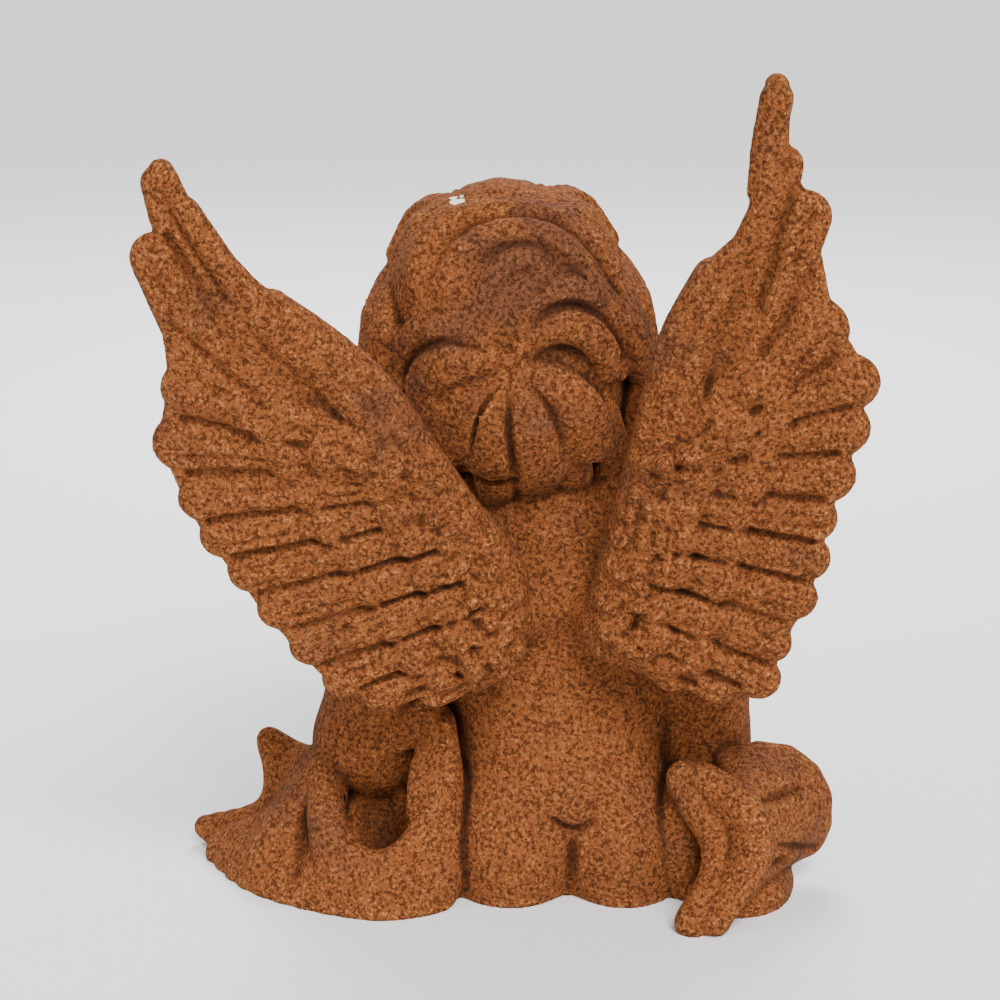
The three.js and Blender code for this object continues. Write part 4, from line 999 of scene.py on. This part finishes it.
def whole_figure(step, strand_depth, barb_depth):
    """All the parts in one lump of clay, cut flat on the ground."""
    clay = Clay((-112, -130, -3), (146, 108, 298), step)
    clay.join(body(step), 0)
    clay.join(lap_cloth(step), 3)
    for side in (LEFT, RIGHT):
        clay.join(leg(side, step), 3)
        clay.join(foot(side, step), 2.5)
        clay.join(arm(side, step), 3)
        clay.join(hand(side, step), 1.5)
    clay.join(left_cloth(step), 2)
    clay.join(right_cloth(step), 2)
    clay.join(face(step), 4)
    clay.join(hair(step, strand_depth), 1)
    for side in (LEFT, RIGHT):
        wing = Wing(side, barb_depth)
        shoulder = (wing.root[0] * 0.8, 22, 102)
        clay.press(Strand([shoulder, wing.root + (9 * side, 2, 8)], [14, 9]), 6)
        clay.press(wing, 3)
    ground = (np.arange(clay.size[2]) + clay.low[2]) * step
    clay.distances = np.maximum(clay.distances, -ground.astype(np.float32))
    return clay


# Surface


def surface(clay):
    """The closed surface of the clay, with one vertex in each cell that it passes through."""
    distances = clay.distances
    inside = distances < 0
    corners = [
        inside[tuple(slice(c, n - 1 + c) for c, n in zip(corner, clay.size))]
        for corner in product((0, 1), repeat=3)
    ]
    count = sum(corner.astype(np.int8) for corner in corners)
    crossed = (count > 0) & (count < 8)
    cells = np.argwhere(crossed)
    number = np.full(crossed.shape, -1, np.int32)
    number[crossed] = np.arange(len(cells))

    total = np.zeros((len(cells), 3))
    edges = np.zeros(len(cells))
    for axis in range(3):
        unit = np.eye(3, dtype=int)[axis]
        for corner in product((0, 1), repeat=3):
            if corner[axis]:
                continue
            a = distances[tuple((cells + corner).T)]
            b = distances[tuple((cells + corner + unit).T)]
            crosses = (a < 0) != (b < 0)
            share = np.where(crosses, a / np.where(crosses, a - b, 1), 0)
            total += crosses[:, None] * (np.array(corner) + share[:, None] * unit)
            edges += crosses
    places = (cells + clay.low + total / edges[:, None]) * clay.step

    quads = []
    for axis in range(3):
        u, v = np.eye(3, dtype=int)[(axis + 1) % 3], np.eye(3, dtype=int)[(axis + 2) % 3]
        ahead = [slice(None)] * 3
        behind = [slice(None)] * 3
        ahead[axis], behind[axis] = slice(1, None), slice(None, -1)
        changes = inside[tuple(behind)] != inside[tuple(ahead)]
        starts = np.argwhere(changes)
        ring = [starts, starts - u, starts - u - v, starts - v]
        faces = np.stack([number[tuple(cell.T)] for cell in ring], -1)
        outward = inside[tuple(starts.T)]
        quads.append(np.where(outward[:, None], faces, faces[:, ::-1]))
    return places, np.vstack(quads)


def settled(clay, places):
    """Moves the vertices onto the surface itself, and the lowest ones onto the ground."""

    def rise(nudge):
        ahead = clay.sampled(clay.distances, places + nudge)
        return ahead - clay.sampled(clay.distances, places - nudge)

    for _ in range(2):
        distance = clay.sampled(clay.distances, places)
        slope = np.stack([rise(nudge) for nudge in np.eye(3) * clay.step / 2], -1)
        slope /= np.maximum(np.linalg.norm(slope, axis=1, keepdims=True), TINY)
        places = places - np.clip(distance, -clay.step / 2, clay.step / 2)[:, None] * slope
    places[:, 2] = np.where(places[:, 2] < clay.step / 2, 0, places[:, 2])
    return places


def largest_piece(places, quads):
    """Leaves out bubbles and crumbs: only the largest connected piece is the figure."""
    label = np.arange(len(places))
    while True:
        least = label[quads].min(axis=1)
        new = label.copy()
        np.minimum.at(new, quads.ravel(), np.repeat(least, 4))
        new = new[new]
        if (new == label).all():
            break
        label = new
    main = np.bincount(label[quads[:, 0]]).argmax()
    quads = quads[label[quads[:, 0]] == main]
    used = np.unique(quads)
    number = np.zeros(len(places), int)
    number[used] = np.arange(len(used))
    return places[used], number[quads]


def hollowness(clay, places, radius):
    """How much stone there is round each point, from 0 on a thin edge to 1 in a deep hollow."""
    solid = (clay.distances < 0).astype(np.float32)
    reach = max(int(round(radius / clay.step)), 1)
    for axis in range(3):
        total = np.cumsum(solid, axis=axis)
        total = np.moveaxis(total, axis, 0)
        solid = np.zeros_like(total)
        width = 2 * reach + 1
        solid[reach + 1 : -reach] = (total[width:] - total[:-width]) / width
        solid = np.moveaxis(solid, 0, axis)
    return clay.sampled(solid, places)


def new_mesh(name, places, quads):
    """A smooth mesh of four-sided faces."""
    mesh = bpy.data.meshes.new(name)
    mesh.vertices.add(len(places))
    mesh.vertices.foreach_set("co", places.astype(np.float32).ravel())
    mesh.loops.add(quads.size)
    mesh.loops.foreach_set("vertex_index", quads.astype(np.int32).ravel())
    mesh.polygons.add(len(quads))
    mesh.polygons.foreach_set("loop_start", np.arange(0, quads.size, 4, dtype=np.int32))
    mesh.update(calc_edges=True)
    mesh.validate()
    mesh.shade_smooth()
    return mesh


# Materials


class Value:
    """A shader socket that works in Python arithmetic. It can be a number or a colour."""

    def __init__(self, tree, socket=None):
        self.tree = tree
        self.socket = socket

    def node(self, kind, inputs, output=0, **settings):
        """One output of a new node, with its settings and then its inputs given."""
        made = self.tree.nodes.new(kind)
        made.location = (200 * (len(self.tree.nodes) % 12), -200 * (len(self.tree.nodes) // 12))
        for name, setting in settings.items():
            setattr(made, name, setting)
        for name, value in inputs.items():
            if isinstance(value, Value):
                self.tree.links.new(value.socket, made.inputs[name])
            else:
                made.inputs[name].default_value = value
        return Value(self.tree, made.outputs[output])

    def maths(self, operation, *values):
        return self.node("ShaderNodeMath", dict(enumerate(values)), operation=operation)

    def __add__(self, other):
        return self.maths("ADD", self, other)

    __radd__ = __add__

    def __sub__(self, other):
        return self.maths("SUBTRACT", self, other)

    def __rsub__(self, other):
        return self.maths("SUBTRACT", other, self)

    def __mul__(self, other):
        return self.maths("MULTIPLY", self, other)

    __rmul__ = __mul__

    def ramp(self, low, high):
        """0 below low and 1 above high, with a smooth rise between them."""
        inputs = {"Value": self, "From Min": low, "From Max": high}
        return self.node("ShaderNodeMapRange", inputs, interpolation_type="SMOOTHSTEP")

    def mix(self, none, full):
        """A colour between none and full, where this value is the share of full."""
        inputs = {0: self, 6: none, 7: full}
        return self.node("ShaderNodeMix", inputs, output=2, data_type="RGBA")

    def shifted(self, vector):
        return self.node("ShaderNodeVectorMath", {0: self, 1: vector}, operation="ADD")

    def distance(self, vector):
        inputs = {0: self, 1: vector}
        return self.node("ShaderNodeVectorMath", inputs, output="Value", operation="DISTANCE")

    def noise(self, size, detail=2.0, roughness=0.5):
        """Soft random values over this place, with spots about as wide as the size."""
        inputs = {"Vector": self, "Scale": 0.5 / size, "Detail": detail, "Roughness": roughness}
        return self.node("ShaderNodeTexNoise", inputs, output="Fac")


# The chip on the crown is a few flakes close together: each one's place and radius
CHIP = [
    ((36.6, 1, 229.2), 1.8), ((33.5, 1, 229.3), 1.7), ((36, 4, 228.6), 1.9),
    ((34.2, 4, 228.7), 1.9), ((35.1, 7.5, 227.8), 2.0), ((35.1, 10.5, 226.8), 1.3),
]
PINHOLES = [(49.7, 5.1, 220.6), (-39, 58, 117), (-58, 75, 271), (-59, 75, 269), (73, 22.5, 31)]
# Where the coat has turned greyish purple, and where the same colour paints the shade on the wings
# beside the head: each patch's place and radius
PURPLE_AND_SHADE = [
    ((14, 36, 212), 22), ((78, 34, 28), 11), ((56, 60, 172), 17), ((-31, 58, 195), 15),
    ((-30, 30, 196), 12),
]
DEEP_SHADE = (0.012, 0.004, 0.0015, 1.0)  # painted shade at the bottom of a hollow
# Near-black painted shade inside the pinholes
PINHOLE = (0.02, 0.008, 0.004, 1.0)
# How far round a point the stone is felt for the two masks of hollows, which paint shade into the
# creases and hollows of the coat
HOLLOWS = {"crease": 2.6, "hollow": 9.0}


def coat_and_shade_material(colours, unit):
    """Gritty rust-brown coat: grains, purple patches, pinholes and a chip, with shade painted into
    its creases, hollows and pinholes and onto the wings beside the head.
    """
    material = bpy.data.materials.new("rust_coat_and_painted_shade")
    material.use_nodes = True
    tree = material.node_tree
    shader = tree.nodes["Principled BSDF"]
    start = Value(tree)
    place = start.node("ShaderNodeTexCoord", {}, output="Object")
    hollow = start.node("ShaderNodeAttribute", {}, output="Fac", attribute_name="hollow")
    crease = start.node("ShaderNodeAttribute", {}, output="Fac", attribute_name="crease")

    def near(places, low, high):
        """1 at each of some places and 0 away from them."""
        total = 0.0
        for (x, y, z), radius in places:
            away = place.distance((x * unit, y * unit, z * unit))
            total = (1 - away.ramp(low * radius * unit, high * radius * unit)) + total
        return total

    grit = place.noise(0.28 * unit, 3.0, 0.6)
    grains = place.shifted((0.4, 0.2, 0.1)).noise(0.5 * unit, 2.0, 0.6)
    spots = place.shifted((0.1, 0.5, 0.7)).noise(0.7 * unit, 2.0, 0.6)
    mottle = place.noise(9 * unit, 4.0, 0.6)
    patches = place.shifted((0.3, 0.3, 0.9)).noise(26 * unit, 3.0, 0.55)

    light = (grains * 0.6 + grit * 0.4).ramp(0.49, 0.60)
    dark = (spots * 0.55 + grit * 0.45).ramp(0.475, 0.57)
    # Greyish purple patches: random tone, with some patches that paint the shade on the wings
    # beside the head
    plum = (near(PURPLE_AND_SHADE, 0.3, 1.5) * 0.2 + patches * 0.5 + mottle * 0.6).ramp(0.56, 0.78)
    # Painted shade along creases
    cut = crease.ramp(0.52, 0.66)
    # Painted shade: where creases and hollows are deepest
    deep = (crease * 0.7 + hollow * 0.5).ramp(0.65, 0.92)
    # 1 away from creases and 0 in them, so creases get fewer light grains: painted shade
    clear_of_creases = 1 - crease.ramp(0.30, 0.52)

    # Light grains, thinned in creases as painted shade
    colour = (light * (0.45 + 0.55 * clear_of_creases)).mix(colours.rust, colours.ochre)
    # Plum patches, partly painted shade
    colour = (plum * 0.58).mix(colour, colours.plum)
    colour = (dark * 0.82).mix(colour, colours.umber)
    # Umber painted as shade along creases
    colour = (cut * 0.5).mix(colour, colours.umber)
    # Umber painted as shade in hollows
    colour = (hollow.ramp(0.57, 0.82) * 0.6).mix(colour, colours.umber)
    # Near-black painted shade at the bottom of the deepest creases and hollows
    colour = (deep * 0.92).mix(colour, DEEP_SHADE)

    # Pinholes: near-black painted shade stands in for the hollow of each hole
    holes = near([(centre, 1.0) for centre in PINHOLES], 0.6, 1.6)
    colour = (holes * 0.9).mix(colour, PINHOLE)
    chip = near(CHIP, 0.85, 1.15).ramp(0.3, 0.7)
    colour = chip.mix(colour, colours.stone)
    tree.links.new(colour.socket, shader.inputs["Base Color"])
    shader.inputs["Roughness"].default_value = 0.92
    shader.inputs["Specular IOR Level"].default_value = 0.12

    height = grains * 0.45 + grit * 0.35 + spots * 0.35 - holes * 1.5 - chip * 0.5
    inputs = {"Strength": 0.75, "Distance": 0.9 * unit, "Height": height}
    bump = start.node("ShaderNodeBump", inputs, output="Normal")
    tree.links.new(bump.socket, shader.inputs["Normal"])
    return material


def plain_material(name, colour):
    """A matt finish in one colour."""
    material = bpy.data.materials.new(name)
    material.use_nodes = True
    shader = material.node_tree.nodes["Principled BSDF"]
    shader.inputs["Base Color"].default_value = colour
    shader.inputs["Roughness"].default_value = 0.9
    return material


# Operators


class ANGEL_OT_figure(bpy.types.Operator):
    """Models the angel and gives it its rusted coat, with shade painted into its hollows"""

    bl_idname = "angel.figure"
    bl_label = "Model the angel"

    def execute(self, context):
        sizes = context.scene.angel_sizes
        step = sizes.step
        unit = sizes.head * SHARE
        clay = whole_figure(step, sizes.strand_depth, sizes.barb_depth)
        places, quads = largest_piece(*surface(clay))
        places = settled(clay, places)
        mesh = new_mesh("angel", places * unit, quads)
        piece = bpy.data.objects.new("angel", mesh)
        context.collection.objects.link(piece)

        triangles = 2 * len(quads)
        if triangles > sizes.facets:
            thinner = piece.modifiers.new("Fewer facets", "DECIMATE")
            thinner.ratio = sizes.facets / triangles
            context.view_layer.objects.active = piece
            bpy.ops.object.modifier_apply(modifier=thinner.name)
        mesh = piece.data
        final = np.empty(3 * len(mesh.vertices), np.float32)
        mesh.vertices.foreach_get("co", final)
        final = final.reshape(-1, 3) / unit
        # Masks of creases and hollows, which the coat uses to paint shade
        for name, radius in HOLLOWS.items():
            values = hollowness(clay, final, radius).astype(np.float32)
            mesh.attributes.new(name, "FLOAT", "POINT").data.foreach_set("value", values)
        mesh.materials.append(coat_and_shade_material(context.scene.angel_colours, unit))
        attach(piece, "root")
        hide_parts(NODE)
        return {"FINISHED"}


class ANGEL_OT_studio(bpy.types.Operator):
    """Adds a pale floor, soft studio light and the camera"""

    bl_idname = "angel.studio"
    bl_label = "Set up the studio"

    TARGET = Vector((0.215, 0.10, 1.31))  # what the camera looks at, in heads
    DISTANCE = 10.0  # in heads
    ELEVATION = math.radians(15)
    SENSOR = 36.0  # in millimetres
    LENS = 3.03 * SENSOR
    # Each lamp's name, place and diameter in heads, and its power in watts
    LAMPS = [("fill", (8.0, 7.0, 6.0), 6.0, 3.0), ("front", (0.0, -9.0, 9.0), 7.0, 15.0)]
    LIT_HEAD = 0.1  # the head, in metres, that these powers are for
    KEY_LIGHT = Vector((3.0, -8.5, -9.0))  # the way that it shines, evenly on the far floor too
    KEY_STRENGTH = 4.3
    KEY_SOFTNESS = math.radians(28)
    AMBIENT = 0.55

    def execute(self, context):
        scene = context.scene
        head = scene.angel_sizes.head
        colour = scene.angel_colours.studio

        mesh = bpy.data.meshes.new("floor")
        half = 40 * head
        corners = [(-half, -half, 0), (half, -half, 0), (half, half, 0), (-half, half, 0)]
        mesh.from_pydata(corners, [], [(0, 1, 2, 3)])
        mesh.materials.append(plain_material("studio_floor", colour))
        floor = bpy.data.objects.new("floor", mesh)
        context.collection.objects.link(floor)

        world = bpy.data.worlds.new("studio")
        world.use_nodes = True
        background = world.node_tree.nodes["Background"]
        background.inputs["Color"].default_value = colour
        background.inputs["Strength"].default_value = self.AMBIENT
        scene.world = world

        target = self.TARGET * head
        for name, place, size, power in self.LAMPS:
            data = bpy.data.lights.new(name, "AREA")
            data.shape = "DISK"
            data.size = size * head
            data.energy = power * (head / self.LIT_HEAD) ** 2
            lamp = bpy.data.objects.new(name, data)
            lamp.location = Vector(place) * head
            lamp.rotation_euler = (target - lamp.location).to_track_quat("-Z", "Y").to_euler()
            context.collection.objects.link(lamp)
        data = bpy.data.lights.new("key", "SUN")
        data.angle = self.KEY_SOFTNESS
        data.energy = self.KEY_STRENGTH
        lamp = bpy.data.objects.new("key", data)
        lamp.rotation_euler = self.KEY_LIGHT.to_track_quat("-Z", "Y").to_euler()
        context.collection.objects.link(lamp)

        data = bpy.data.cameras.new("camera")
        data.sensor_width = self.SENSOR
        data.lens = self.LENS
        camera = bpy.data.objects.new("camera", data)
        back = Vector((0, math.cos(self.ELEVATION), math.sin(self.ELEVATION)))
        camera.location = target + self.DISTANCE * head * back
        camera.rotation_euler = (-back).to_track_quat("-Z", "Y").to_euler()
        context.collection.objects.link(camera)
        scene.camera = camera
        return {"FINISHED"}


class ANGEL_PT_panel(bpy.types.Panel):
    """Sizes, colours and steps of the angel"""

    bl_idname = "ANGEL_PT_panel"
    bl_label = "Cast Stone Angel"
    bl_space_type = "VIEW_3D"
    bl_region_type = "UI"
    bl_category = "Angel"

    def draw(self, context):
        for group in (context.scene.angel_sizes, context.scene.angel_colours):
            box = self.layout.box()
            for name in type(group).__annotations__:
                box.prop(group, name)
        for operator in (ANGEL_OT_figure, ANGEL_OT_studio):
            self.layout.operator(operator.bl_idname)


CLASSES = (AngelSizes, AngelColours, ANGEL_OT_figure, ANGEL_OT_studio, ANGEL_PT_panel)


def register():
    for kind in CLASSES:
        bpy.utils.register_class(kind)
    bpy.types.Scene.angel_sizes = bpy.props.PointerProperty(type=AngelSizes)
    bpy.types.Scene.angel_colours = bpy.props.PointerProperty(type=AngelColours)


def unregister():
    del bpy.types.Scene.angel_colours
    del bpy.types.Scene.angel_sizes
    for kind in reversed(CLASSES):
        bpy.utils.unregister_class(kind)


def main():
    register()
    bpy.ops.angel.figure()
    bpy.ops.angel.studio()
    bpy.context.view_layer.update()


if __name__ == "__main__":
    main()
